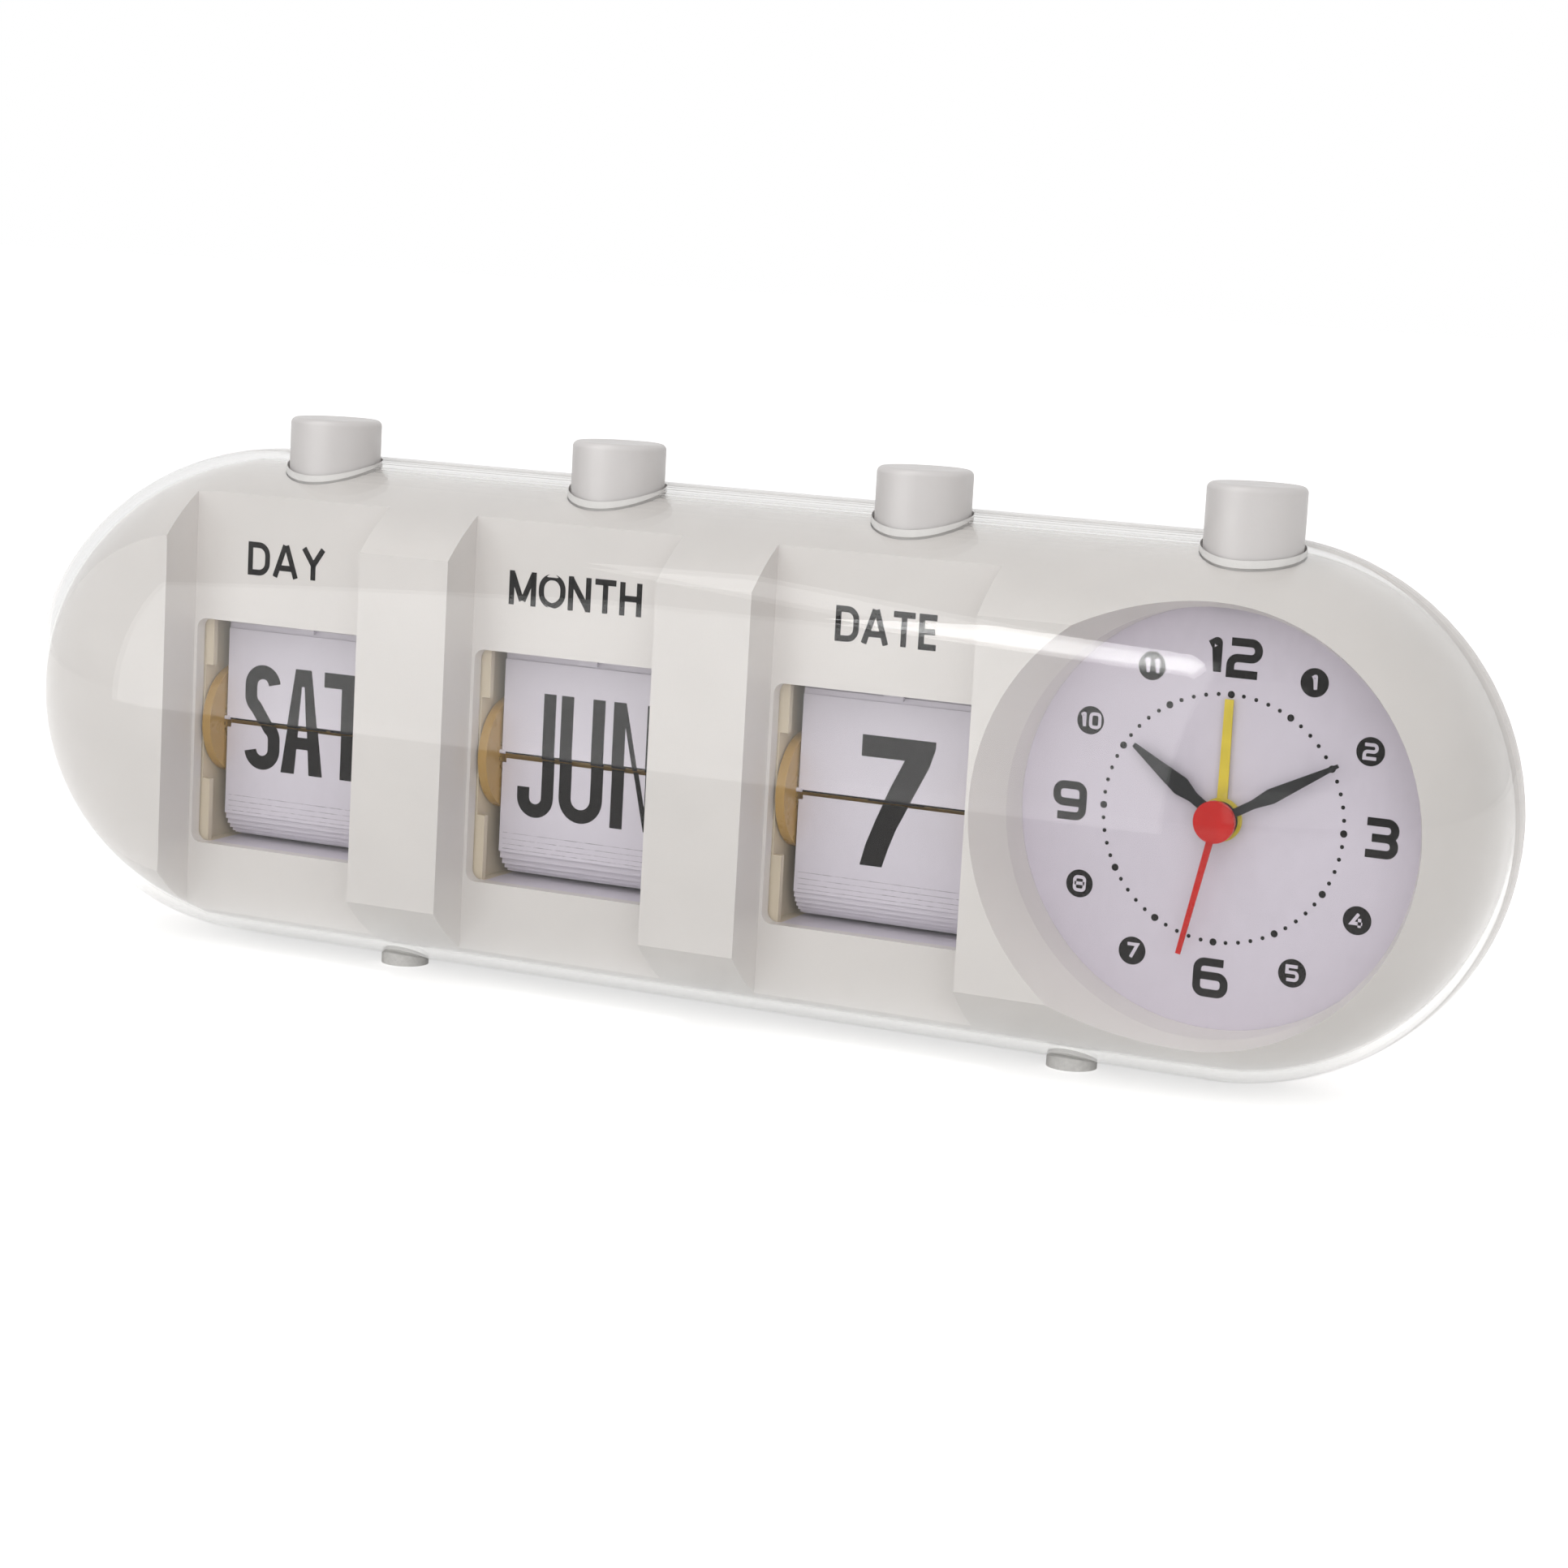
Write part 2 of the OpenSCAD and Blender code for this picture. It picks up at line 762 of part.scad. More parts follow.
// Knob with a ribbed rim and its shaft.
module knob(x, z, r) {
    difference() {
        union() {
            depth_cylinder(x, z, r, -rear_depth - run_gap - knob_h, -rear_depth - run_gap);
            depth_cylinder(x, z, knob_shaft_r, -rear_depth - run_gap, knob_shaft_end);
        }
        for (a = [0 : 20 : 340])
            depth_cylinder(x + (r + 0.25) * cos(a), z + (r + 0.25) * sin(a), 0.6,
                           -rear_depth - knob_h - cut, -rear_depth);
    }
}

module time_knob() {
    color("whitesmoke") lifted() knob(end_x, 0, knob_r);
}

module alarm_knob() {
    color("whitesmoke") lifted() knob(end_x + alarm_knob_x, alarm_knob_z, alarm_knob_r);
}

module alarm_switch() {
    color("whitesmoke") lifted() {
        block([end_x + switch_x, 3.6, switch_z - switch_h / 2],
              [end_x + switch_x + switch_w, rear_depth + 1.8, switch_z + switch_h / 2]);
        block([end_x + switch_x - 1, -case_back + run_gap, switch_z - switch_h / 2 - 1],
              [end_x + switch_x + switch_w + 1, -case_back + run_gap + 1, switch_z + switch_h / 2 + 1]);
    }
}

// Push button: a hollow cap on a flange, with its foot at press_bottom.
module button_cap(x, top) {
    translate([x, -button_depth, 0]) difference() {
        rotate_extrude() {
            translate([0, press_bottom]) square([press_flange_r, press_flange_t]);
            translate([0, press_bottom]) square([button_r, top - button_edge_r - press_bottom]);
            translate([0, press_bottom]) square([button_r - button_edge_r, top - press_bottom]);
            intersection() {
                translate([button_r - button_edge_r, top - button_edge_r]) circle(button_edge_r);
                square([body_r, 2 * body_r]);
            }
        }
        translate([0, 0, press_bottom - cut])
            cylinder(r = button_r - button_wall, h = top - button_wall - button_edge_r - press_bottom + cut);
    }
}

// Spring sleeve under a button, from seat up to the inside of the cap.
module button_spring(x, seat, top) {
    translate([x, -button_depth, seat]) difference() {
        cylinder(r = spring_r, h = top - button_wall - button_edge_r - seat);
        translate([0, 0, -cut]) cylinder(r = spring_r - spring_wire, h = body_r);
    }
}

module snooze_button() {
    color("white") lifted() difference() {
        button_cap(snooze_x, snooze_top);
        depth_cylinder(end_x, 0, skirt_r + press_travel + run_gap, case_front - run_gap, body_r);
    }
}

module snooze_spring() {
    color("silver") lifted() button_spring(snooze_x, case_top, snooze_top);
}

// Tip radius at which one press of a button moves the ratchet by one place.
function ratchet_r(places) = press_travel / (2 * PI / places);

// Leaves that stand in front of the drum's top, that hang below the split, and that fan out behind.
function upper_count(places) = floor(places / 4 - 0.5);
function lower_count(places) = floor(places / 2);
function rear_count(places) = places - 1 - upper_count(places) - lower_count(places);

// Calendar button with the rod that pushes the front of the ratchet down.
module calendar_button(x, places) {
    tip = drum_depth + ratchet_r(places);
    bar_in = tip + finger_gap;
    bar_out = bar_in + finger_t;
    color("white") lifted() {
        button_cap(x, button_top);
        block([x + button_r - 1, -button_depth - arm_half_w, press_bottom - press_flange_t],
              [x + ratchet_out, -button_depth + arm_half_w, press_flange_top]);
        block([x + rod_left, -rod_front, press_bottom - press_flange_t],
              [x + ratchet_out, -button_depth, press_bottom]);
        block([x + rod_left, -rod_front, jog_z], [x + ratchet_out, -rod_front + rod_t, press_bottom]);
        block([x + rod_left, -max(bar_out, rod_front), jog_z],
              [x + ratchet_out, -min(bar_in, rod_front - rod_t), jog_z + rod_t]);
        block([x + rod_left, -bar_out, split_z + finger_gap], [x + ratchet_out, -bar_in, jog_z + rod_t]);
        block([x + rod_left, -bar_out, split_z + finger_gap],
              [x + ratchet_out, -tip + tooth_bite, split_z + finger_gap + hook_h]);
    }
}

// Frame of a calendar module: two side plates, two shelves, lips beside the flange and a stop tab.
module calendar_frame(x, places) {
    low_y = -plate_front;
    high_y = -plate_back;
    nub_y = drum_y + ratchet_r(places) + finger_gap;
    color("cornsilk") lifted() difference() {
        union() {
            block([x - left_plate_out, low_y, plate_bottom], [x - left_plate_in, high_y, plate_top]);
            block([x + right_plate_in, low_y, plate_bottom], [x + right_plate_out, high_y, plate_top]);
            for (z = [plate_bottom, plate_top - shelf_t])
                block([x - left_plate_out, low_y, z], [x + right_plate_out, high_y, z + shelf_t]);
            block([x - left_plate_out, low_y, split_z + flange_r + 0.4],
                  [x - lip_in, low_y + lip_t, plate_top]);
            block([x - left_plate_out, low_y, plate_bottom],
                  [x - lip_in, low_y + lip_t, split_z - flange_r - 0.4]);
            block([x - tab_w / 2, -leaf_depth - run_gap - tab_t, split_z + leaf_len + 0.9],
                  [x + tab_w / 2, -leaf_depth - run_gap, plate_top]);
            block([x + rod_left, nub_y, split_z - 1], [x + right_plate_out, nub_y + 1.5, split_z + 1]);
            translate([x, -button_depth, plate_top]) cylinder(r = post_r, h = post_h);
        }
        translate([x - body_r, drum_y, split_z]) rotate([0, 90, 0])
            cylinder(r = axle_r + fit_gap, h = 2 * body_r);
        block([x + rod_left - run_gap, low_y - cut, plate_top - shelf_t - cut],
              [x + right_plate_in - 0.1, -rod_front + rod_t + run_gap, plate_top + cut]);
    }
}

module calendar_axle(x) {
    color("silver") lifted() translate([x - left_plate_out - 0.5, drum_y, split_z]) rotate([0, 90, 0])
        cylinder(r = axle_r, h = left_plate_out + right_plate_out + 1);
}

// Drum of a calendar module: a hub between two flanges with a pin hole for each leaf.
module calendar_drum(x, places) {
    color("goldenrod") lifted() translate([x, drum_y, split_z]) rotate([0, 90, 0]) difference() {
        union() {
            translate([0, 0, -left_flange_out]) cylinder(r = hub_r, h = left_flange_out + right_flange_out);
            translate([0, 0, -left_flange_out]) cylinder(r = flange_r, h = flange_t);
            translate([0, 0, flange_in]) cylinder(r = flange_r, h = ratchet_flange_t);
        }
        translate([0, 0, -body_r]) cylinder(r = axle_r + fit_gap, h = 2 * body_r);
        for (k = [0 : places - 1])
            rotate(-90 - (k + 0.5) * 360 / places) translate([pin_circle_r, 0, -body_r])
                cylinder(r = pin_hole_r, h = 2 * body_r, $fn = 24);
    }
}

// Ratchet wheel: saw teeth whose steep faces look up at the front.
module calendar_ratchet(x, places) {
    tip = ratchet_r(places);
    step = 360 / places;
    corners = [for (k = [0 : places - 1], p = [[tip - tooth_h, k * step], [tip, (k + 1) * step]])
        [drum_y - p[0] * cos(p[1]), split_z + p[0] * sin(p[1])]];
    color("goldenrod") lifted() plate_x(x + right_flange_out, x + ratchet_out) difference() {
        polygon(corners);
        translate([drum_y, split_z]) circle(axle_r + fit_gap);
    }
}

// One leaf from its pin at (y, z), lying in a direction: 0 is forward, 90 up, 180 back.
// Its shoulders are cut back, clear of the pins of the leaf in front.
module leaf(x, y, z, direction) {
    translate([x, y, z]) rotate([90 - direction, 0, 0]) difference() {
        block([-leaf_half, -leaf_t / 2, -leaf_root], [leaf_half, leaf_t / 2, leaf_len]);
        for (side = [-1, 1])
            translate([side * leaf_half, 0, 0])
                block([-shoulder_w, -leaf_t, -leaf_root - cut], [shoulder_w, leaf_t, shoulder_h]);
    }
}

module flip_leaf(x, places) {
    y = drum_y - pin_circle_r * cos(180 / places);
    z = split_z + pin_circle_r * sin(180 / places);
    color("lavender") lifted() translate([x, y, z]) {
        block([-leaf_half, -leaf_t / 2, -leaf_root], [leaf_half, leaf_t / 2, leaf_len]);
        for (side = [-1, 1])
            rotate([0, side * 90, 0]) translate([0, 0, leaf_half - pin_joint])
                cylinder(r = pin_r, h = flange_in + pin_out + pin_joint - leaf_half, $fn = 24);
    }
}

module upper_leaves(x, places) {
    step = 360 / places;
    color("lavender") lifted()
        for (k = [1 : upper_count(places)])
            leaf(x, drum_y - pin_circle_r * cos((k + 0.5) * step),
                 split_z + pin_circle_r * sin((k + 0.5) * step), 90);
}

module lower_leaves(x, places) {
    step = 360 / places;
    count = lower_count(places);
    color("lavender") lifted()
        for (k = [1 : count])
            leaf(x, drum_y - pin_circle_r * cos(step * (1.5 + (k - 1) * (count - 2) / (count - 1))),
                 split_z - pin_circle_r * sin((k - 0.5) * step), 270);
}

module rear_leaves(x, places) {
    step = 360 / places;
    count = rear_count(places);
    color("lavender") lifted()
        for (k = [0 : count - 1]) {
            angle = (upper_count(places) + 1.5 + k) * step;
            leaf(x, drum_y - pin_circle_r * cos(angle), split_z + pin_circle_r * sin(angle),
                 90 + 180 * (k + 0.5) / count);
        }
}

module day_frame() { calendar_frame(day_x, day_places); }
module day_axle() { calendar_axle(day_x); }
module day_drum() { calendar_drum(day_x, day_places); }
module day_ratchet() { calendar_ratchet(day_x, day_places); }
module day_rear_leaves() { rear_leaves(day_x, day_places); }
module day_upper_leaves() { upper_leaves(day_x, day_places); }
module day_lower_leaves() { lower_leaves(day_x, day_places); }
module day_flip_leaf() { flip_leaf(day_x, day_places); }
module day_button() { calendar_button(day_x, day_places); }
module day_spring() { color("silver") lifted() button_spring(day_x, plate_top, button_top); }
module month_frame() { calendar_frame(month_x, month_places); }
module month_axle() { calendar_axle(month_x); }
module month_drum() { calendar_drum(month_x, month_places); }
module month_ratchet() { calendar_ratchet(month_x, month_places); }
module month_rear_leaves() { rear_leaves(month_x, month_places); }
module month_upper_leaves() { upper_leaves(month_x, month_places); }
module month_lower_leaves() { lower_leaves(month_x, month_places); }
module month_flip_leaf() { flip_leaf(month_x, month_places); }
module month_button() { calendar_button(month_x, month_places); }
module month_spring() { color("silver") lifted() button_spring(month_x, plate_top, button_top); }
module date_frame() { calendar_frame(date_x, date_places); }
module date_axle() { calendar_axle(date_x); }
module date_drum() { calendar_drum(date_x, date_places); }
module date_ratchet() { calendar_ratchet(date_x, date_places); }
module date_rear_leaves() { rear_leaves(date_x, date_places); }
module date_upper_leaves() { upper_leaves(date_x, date_places); }
module date_lower_leaves() { lower_leaves(date_x, date_places); }
module date_flip_leaf() { flip_leaf(date_x, date_places); }
module date_button() { calendar_button(date_x, date_places); }
module date_spring() { color("silver") lifted() button_spring(date_x, plate_top, button_top); }

rear_housing();
clear_cover();
fascia();
feet();
case_screws();
battery_door();
battery_cell();
contact_spring();
contact_plate();
dial();
movement_front();
movement_back();
circuit_board();
motor_coil();
motor_stator();
motor_rotor();
buzzer();
alarm_wheel();
hour_wheel();
minute_wheel();
second_wheel();
alarm_hand();
hour_hand();
minute_hand();
second_hand();
time_knob();
alarm_knob();
alarm_switch();
snooze_button();
snooze_spring();
day_frame();
day_axle();
day_drum();
day_ratchet();
day_rear_leaves();
day_upper_leaves();
day_lower_leaves();
day_flip_leaf();
day_button();
day_spring();
month_frame();
month_axle();
month_drum();
month_ratchet();
month_rear_leaves();
month_upper_leaves();
month_lower_leaves();
month_flip_leaf();
month_button();
month_spring();
date_frame();
date_axle();
date_drum();
date_ratchet();
date_rear_leaves();
date_upper_leaves();
date_lower_leaves();
date_flip_leaf();
date_button();
date_spring();
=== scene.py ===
"""Looks of a desk flip calendar with an alarm clock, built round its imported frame.

Lengths are in metres, in the frame's own axes: the front faces -Y and +Z is up.
Pieces take their places from the frame's joints and boxes, and sizes of print from the photograph.
"""

import json
import math

import bmesh
import bpy
from mathutils import Matrix, Vector


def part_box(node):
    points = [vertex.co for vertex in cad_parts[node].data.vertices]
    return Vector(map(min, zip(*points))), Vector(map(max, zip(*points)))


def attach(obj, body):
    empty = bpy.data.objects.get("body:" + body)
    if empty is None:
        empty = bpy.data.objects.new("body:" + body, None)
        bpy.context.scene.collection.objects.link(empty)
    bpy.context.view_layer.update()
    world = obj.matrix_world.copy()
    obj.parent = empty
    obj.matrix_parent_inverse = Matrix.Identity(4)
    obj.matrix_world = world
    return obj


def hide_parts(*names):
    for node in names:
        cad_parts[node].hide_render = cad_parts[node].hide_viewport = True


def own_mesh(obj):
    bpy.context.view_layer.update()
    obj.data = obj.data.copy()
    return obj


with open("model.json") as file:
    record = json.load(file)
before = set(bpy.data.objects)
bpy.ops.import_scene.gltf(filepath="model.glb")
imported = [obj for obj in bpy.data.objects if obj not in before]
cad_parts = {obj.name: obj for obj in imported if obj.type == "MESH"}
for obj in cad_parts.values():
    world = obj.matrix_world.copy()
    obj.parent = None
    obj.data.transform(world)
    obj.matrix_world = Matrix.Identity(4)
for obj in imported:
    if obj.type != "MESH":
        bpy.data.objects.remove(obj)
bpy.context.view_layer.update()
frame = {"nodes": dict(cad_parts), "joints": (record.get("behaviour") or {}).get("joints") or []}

MM = 0.001
JOINTS = {joint["name"]: joint for joint in frame["joints"]}
HUB = Vector(JOINTS["minute_turn"]["pos_m"])
DIAL_FACE_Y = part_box("dial")[0].y
MODULES = ("day", "month", "date")

# Camera, as the object was photographed
IMAGE_SIZE = 1932
FOCAL_PIXELS = 4392.9
SENSOR_WIDTH = 36.0
CAMERA_PLACE = Vector((0.22573, -0.46243, 0.11337))
CAMERA_YAW = 0.43211
CAMERA_PITCH = 0.15214
CAMERA_ROLL = 0.055225
CLIP_START = 0.01

# Colours, linear
WHITE_PLASTIC = (0.705, 0.673, 0.66)
BUTTON_WHITE = (0.61, 0.59, 0.585)
LEAF_LAVENDER = (0.66, 0.62, 0.70)
DIAL_LAVENDER = (0.64, 0.59, 0.68)
INK = (0.005, 0.004, 0.004)
FRAME_CREAM = (0.66, 0.57, 0.44)
AMBER = (0.46, 0.28, 0.08)
RED_PAINT = (0.56, 0.008, 0.005)
YELLOW_PAINT = (0.72, 0.56, 0.045)
BLACK_PAINT = (0.006, 0.006, 0.007)
CLEAR_TINT = (0.985, 0.985, 0.98)
HOLE_EDGE = (0.8, 0.79, 0.78)
# The feet: the pads' own white, raised further as painted light, since they stand in the case's shade
FOOT_WHITE_PAINTED_LIGHT = (0.93, 0.92, 0.9)
SWITCH_GREY = (0.32, 0.32, 0.32)
BRIGHT_STEEL = (0.62, 0.61, 0.59)
DRAWN_STEEL = (0.6, 0.59, 0.57)
BRASS = (0.75, 0.52, 0.22)
BOARD_GREEN = (0.015, 0.13, 0.045)
ACETAL_WHITE = (0.78, 0.77, 0.73)
MAGNET_BLACK = (0.03, 0.03, 0.032)
WRAP_BLACK = (0.02, 0.022, 0.028)
WRAP_COPPER = (0.45, 0.30, 0.10)
EDGE_SHADE = 0.55

# Heights of relief on the surfaces, how deep light goes into plastic, and levels of gloss
MOULD_GRAIN = 0.01 * MM
FINE_RELIEF = 0.004 * MM
INK_RELIEF = 0.003 * MM
PAINT_RELIEF = 0.005 * MM
WEAVE_RELIEF = 0.006 * MM
COARSE_RELIEF = 0.02 * MM
SKIN_DEPTH = 1.2 * MM
INK_GLOSS = 0.06
ENAMEL_GLOSS = 0.15

# Where one colour ends and the next begins on a piece
PAINT_EDGE = 0.1 * MM
FRAME_SPLIT = 0.2 * MM
WRAP_SPLIT_SHARE = 0.2

# Printing
INK_T = 0.02 * MM
LEAF_INK_T = 0.006 * MM
INK_WELD = 0.0005 * MM
SAME_FACE = 0.002 * MM
CUT_SLACK = 0.0001 * MM
DOT_RING_R = 17.0 * MM
HOUR_DOT_R = 0.5 * MM
MINUTE_DOT_R = 0.28 * MM
DOT_SIDES = 16
DISC_SIDES = 40
BIG_NUMERAL_R = 22.0 * MM
BIG_NUMERAL_H = 5.4 * MM
BIG_STROKE = 1.12 * MM
BIG_GAP = 0.3 * MM
SMALL_NUMERAL_R = 22.8 * MM
SMALL_NUMERAL_H = 2.3 * MM
SMALL_STROKE = 0.46 * MM
SMALL_GAP = 0.25 * MM
NUMERAL_DISC_R = 1.95 * MM
LABEL_H = 4.95 * MM
LABEL_STROKE = 0.86 * MM
LABEL_GAP = 0.55 * MM
# Each label's word, width, shift from its module's middle and height over the hub
LABELS = {
    "day": ("DAY", 13.7 * MM, -0.8 * MM, 22.3 * MM),
    "month": ("MONTH", 21.8 * MM, -0.2 * MM, 22.0 * MM),
    "date": ("DATE", 15.8 * MM, 0.4 * MM, 21.75 * MM),
}
# The channels' floor lies this far in front of the case's long axis, which has this y
FLOOR_FORWARD = 17.5 * MM
CASE_AXIS_Y = 8.65 * MM
# The edges of the leaves: the gap cut in the words at the split, the height of the painted shadow line under
# each upper leaf, how far the pins reach, and the painted shade lines at the lower edges of the stacked
# leaves
SPLIT_GAP = 0.12 * MM
SPLIT_SHADOW_H = 0.22 * MM
PIN_REACH = 2.0 * MM
STACK_LINE = 0.1 * MM
STACK_LINES = (0.5 * MM, 1.2 * MM, 2.0 * MM, 2.9 * MM)
STACK_LINE_INSET = 0.6 * MM

# Strokes of the lettering
ARC_STEPS = 7
R = 0.24
MITRE_LIMIT = 0.4

# Springs: an end turn that lies close rises by SPRING_CLOSE_SHARE of the height
SPRING_WIRE_R = 0.35 * MM
SPRING_TURNS = 4.0
SPRING_CLOSED = 1.0
SPRING_CLOSE_SHARE = 0.075
SPRING_STEPS = 28
SPRING_SIDES = 8

# Studio: the reflection card is an upright lamp in front of the object, with its ends at CARD_LEFT and
# CARD_RIGHT
FLOOR_SIZE = 6.0
FLOOR_WHITE = (0.9, 0.9, 0.9)
FLOOR_GLOW = 0.62
FLOOR_GLOSS = 0.1
WORLD_LIGHT = (1.0, 0.985, 0.97)
WORLD_STRENGTH = 0.57
TARGET = Vector((0, -0.02, 0.04))
CARD_LEFT, CARD_RIGHT = -0.45, -0.02
CARD_FRONT = -0.33
CARD_BOTTOM, CARD_TOP = 0.008, 0.85
CARD_RADIANCE = 2.8
NO_SHIFT = Vector((0, 0, 0))
DIAL_SHIFT = Vector((0.07, 0, 0.02))
# Each lamp: azimuth and elevation in degrees and distance from TARGET, the shift of lamp and aim, width,
# height, power in watts, and whether the cover mirrors it
LAMPS = (
    ("window_softbox", 22, 38, 1.2, NO_SHIFT, 0.95, 1.15, 3.5, False),
    ("low_softbox", 35, 9, 1.2, NO_SHIFT, 1.1, 0.3, 2.0, False),
    ("top_softbox", -43, 62, 1.1, DIAL_SHIFT, 0.26, 0.12, 1.6, True),
    ("streak_softbox", -62, 63, 1.1, DIAL_SHIFT, 0.5, 0.09, 0.45, True),
)

# Clear cover
COVER_WALL = 1.6 * MM
COVER_HOLE_R = 7.22 * MM
COVER_HOLE_SLACK = 0.05 * MM
SHELL_WELD = 0.001 * MM
# A face whose normal rises no more than this stands upright
UPRIGHT_NORMAL = 0.2
DRILL_SHARE = 0.9
DRILL_SIDES = 96
SHARP_EDGE = math.radians(35)
BUTTON_SPRINGS = ("snooze_spring", "day_spring", "month_spring", "date_spring")
CLEAR_DENSITY = 16.0
CLEAR_SHADOW = (0.97, 0.975, 0.97)
CLEAR_DEPTH = (0.1, 0.06, 0.03)
COVER_IOR = 1.24
COVER_WAVE = 0.0006 * MM
# Steps of the cover's quarter round and of each round end
COVER_STEPS = 40
END_STEPS = 64


def node_box(name):
    """The centre and the size of a node's box."""
    low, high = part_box(name)
    return (low + high) / 2, high - low


def new_object(name, data):
    """A new object in the scene."""
    piece = bpy.data.objects.new(name, data)
    bpy.context.scene.collection.objects.link(piece)
    return piece


def mesh_from(work, name):
    """The mesh of a finished bmesh, which is then freed."""
    mesh = bpy.data.meshes.new(name)
    work.to_mesh(mesh)
    work.free()
    return mesh


# Materials


def new_material(name, colour, roughness):
    """A material and its Principled shader."""
    material = bpy.data.materials.new(name)
    material.use_nodes = True
    shader = material.node_tree.nodes["Principled BSDF"]
    shader.inputs["Base Color"].default_value = (*colour, 1)
    shader.inputs["Roughness"].default_value = roughness
    return material, shader


def add_node(material, kind, **settings):
    """A new node with its settings; a setting that names an input gives its value."""
    node = material.node_tree.nodes.new(kind)
    for key, value in settings.items():
        name = key.replace("_", " ").title()
        if name in node.inputs:
            node.inputs[name].default_value = value
        else:
            setattr(node, key, value)
    return node


def wire(material, source, target):
    """Links an output to an input."""
    material.node_tree.links.new(source, target)


def object_place(material):
    """The coordinates of the piece's own mesh, in metres."""
    return add_node(material, "ShaderNodeTexCoord").outputs["Object"]


def noise(material, scale, detail=3.0, roughness=0.5, stretch=(1, 1, 1)):
    """Noise with this many features to a metre."""
    mapping = add_node(material, "ShaderNodeMapping")
    mapping.inputs["Scale"].default_value = stretch
    wire(material, object_place(material), mapping.inputs["Vector"])
    pattern = add_node(material, "ShaderNodeTexNoise", scale=scale, detail=detail, roughness=roughness)
    wire(material, mapping.outputs["Vector"], pattern.inputs["Vector"])
    return pattern.outputs["Fac"]


def spread(material, value, low, high, start=0.3, end=0.7):
    """Maps a value from start..end to low..high."""
    ranged = add_node(material, "ShaderNodeMapRange", from_min=start, from_max=end, to_min=low, to_max=high)
    wire(material, value, ranged.inputs["Value"])
    return ranged.outputs["Result"]


def two_tone(material, value, first, second, start=0.3, end=0.7):
    """A colour that runs from first to second as the value runs from start to end."""
    ramp = add_node(material, "ShaderNodeValToRGB")
    ramp.color_ramp.elements[0].position = start
    ramp.color_ramp.elements[0].color = (*first, 1)
    ramp.color_ramp.elements[1].position = end
    ramp.color_ramp.elements[1].color = (*second, 1)
    wire(material, value, ramp.inputs["Fac"])
    return ramp.outputs["Color"]


def bump(material, shader, height, distance):
    """Roughens the surface: distance is the height of the relief in metres."""
    node = add_node(material, "ShaderNodeBump", distance=distance)
    wire(material, height, node.inputs["Height"])
    wire(material, node.outputs["Normal"], shader.inputs["Normal"])


def shade(colour, factor):
    """The colour, darker or lighter by a factor."""
    return tuple(min(1.0, channel * factor) for channel in colour)


def tint(material, shader, value, colour, dark, light):
    """Lets a pattern run the base colour from a darker to a lighter shade."""
    tones = two_tone(material, value, shade(colour, dark), shade(colour, light))
    wire(material, tones, shader.inputs["Base Color"])


def sheen(material, shader, value, low, high):
    """Lets a pattern run the roughness from low to high."""
    wire(material, spread(material, value, low, high), shader.inputs["Roughness"])


def moulded_plastic(name, colour, roughness, soft=0.06):
    """Moulded plastic: fine tool grain, faint flow clouds in its colour and an uneven sheen."""
    material, shader = new_material(name, colour, roughness)
    clouds = noise(material, 38, 4, 0.6)
    tint(material, shader, clouds, colour, 0.955, 1.035)
    sheen(material, shader, noise(material, 420, 3), roughness * 0.86, roughness * 1.14)
    if soft:
        shader.inputs["Subsurface Weight"].default_value = soft
        shader.inputs["Subsurface Radius"].default_value = (1.0, 0.9, 0.8)
        shader.inputs["Subsurface Scale"].default_value = SKIN_DEPTH
    bump(material, shader, noise(material, 2600, 2), MOULD_GRAIN)
    return material


def clear_plastic(name, colour, roughness):
    """Clear polished acrylic with faint flow lines, which lets lamps through to what it covers."""
    material, shader = new_material(name, colour, roughness)
    shader.inputs["IOR"].default_value = COVER_IOR
    shader.inputs["Transmission Weight"].default_value = 1.0
    bump(material, shader, noise(material, 26, 2, 0.4, (0.35, 1, 1)), COVER_WAVE)
    clear = add_node(material, "ShaderNodeBsdfTransparent")
    clear.inputs["Color"].default_value = (*CLEAR_SHADOW, 1)
    path = add_node(material, "ShaderNodeLightPath")
    either = add_node(material, "ShaderNodeMath", operation="MAXIMUM")
    wire(material, path.outputs["Is Shadow Ray"], either.inputs[0])
    wire(material, path.outputs["Is Diffuse Ray"], either.inputs[1])
    mix = add_node(material, "ShaderNodeMixShader")
    wire(material, either.outputs[0], mix.inputs["Fac"])
    wire(material, shader.outputs["BSDF"], mix.inputs[1])
    wire(material, clear.outputs["BSDF"], mix.inputs[2])
    output = material.node_tree.nodes["Material Output"]
    wire(material, mix.outputs["Shader"], output.inputs["Surface"])
    depth = add_node(material, "ShaderNodeVolumeAbsorption", density=CLEAR_DENSITY)
    depth.inputs["Color"].default_value = (*CLEAR_DEPTH, 1)
    wire(material, depth.outputs["Volume"], output.inputs["Volume"])
    return material


def printed_sheet(name, colour, roughness):
    """Thin satin sheet: paper-fine mottle and a slight wave in its sheen."""
    material, shader = new_material(name, colour, roughness)
    fibres = noise(material, 900, 5, 0.7, (1, 1, 0.55))
    tint(material, shader, fibres, colour, 0.97, 1.02)
    sheen(material, shader, noise(material, 150, 2), roughness * 0.9, roughness * 1.1)
    bump(material, shader, fibres, FINE_RELIEF)
    return material


def printed_ink(name, colour):
    """Dense screen-printed ink with a faintly uneven edge to its gloss; it also gives the painted shade of
    the lines at the leaves' edges.
    """
    material, shader = new_material(name, colour, 0.42)
    shader.inputs["Specular IOR Level"].default_value = INK_GLOSS
    patches = noise(material, 1400, 4, 0.6)
    tint(material, shader, patches, colour, 0.7, 1.9)
    sheen(material, shader, patches, 0.34, 0.52)
    bump(material, shader, patches, INK_RELIEF)
    return material


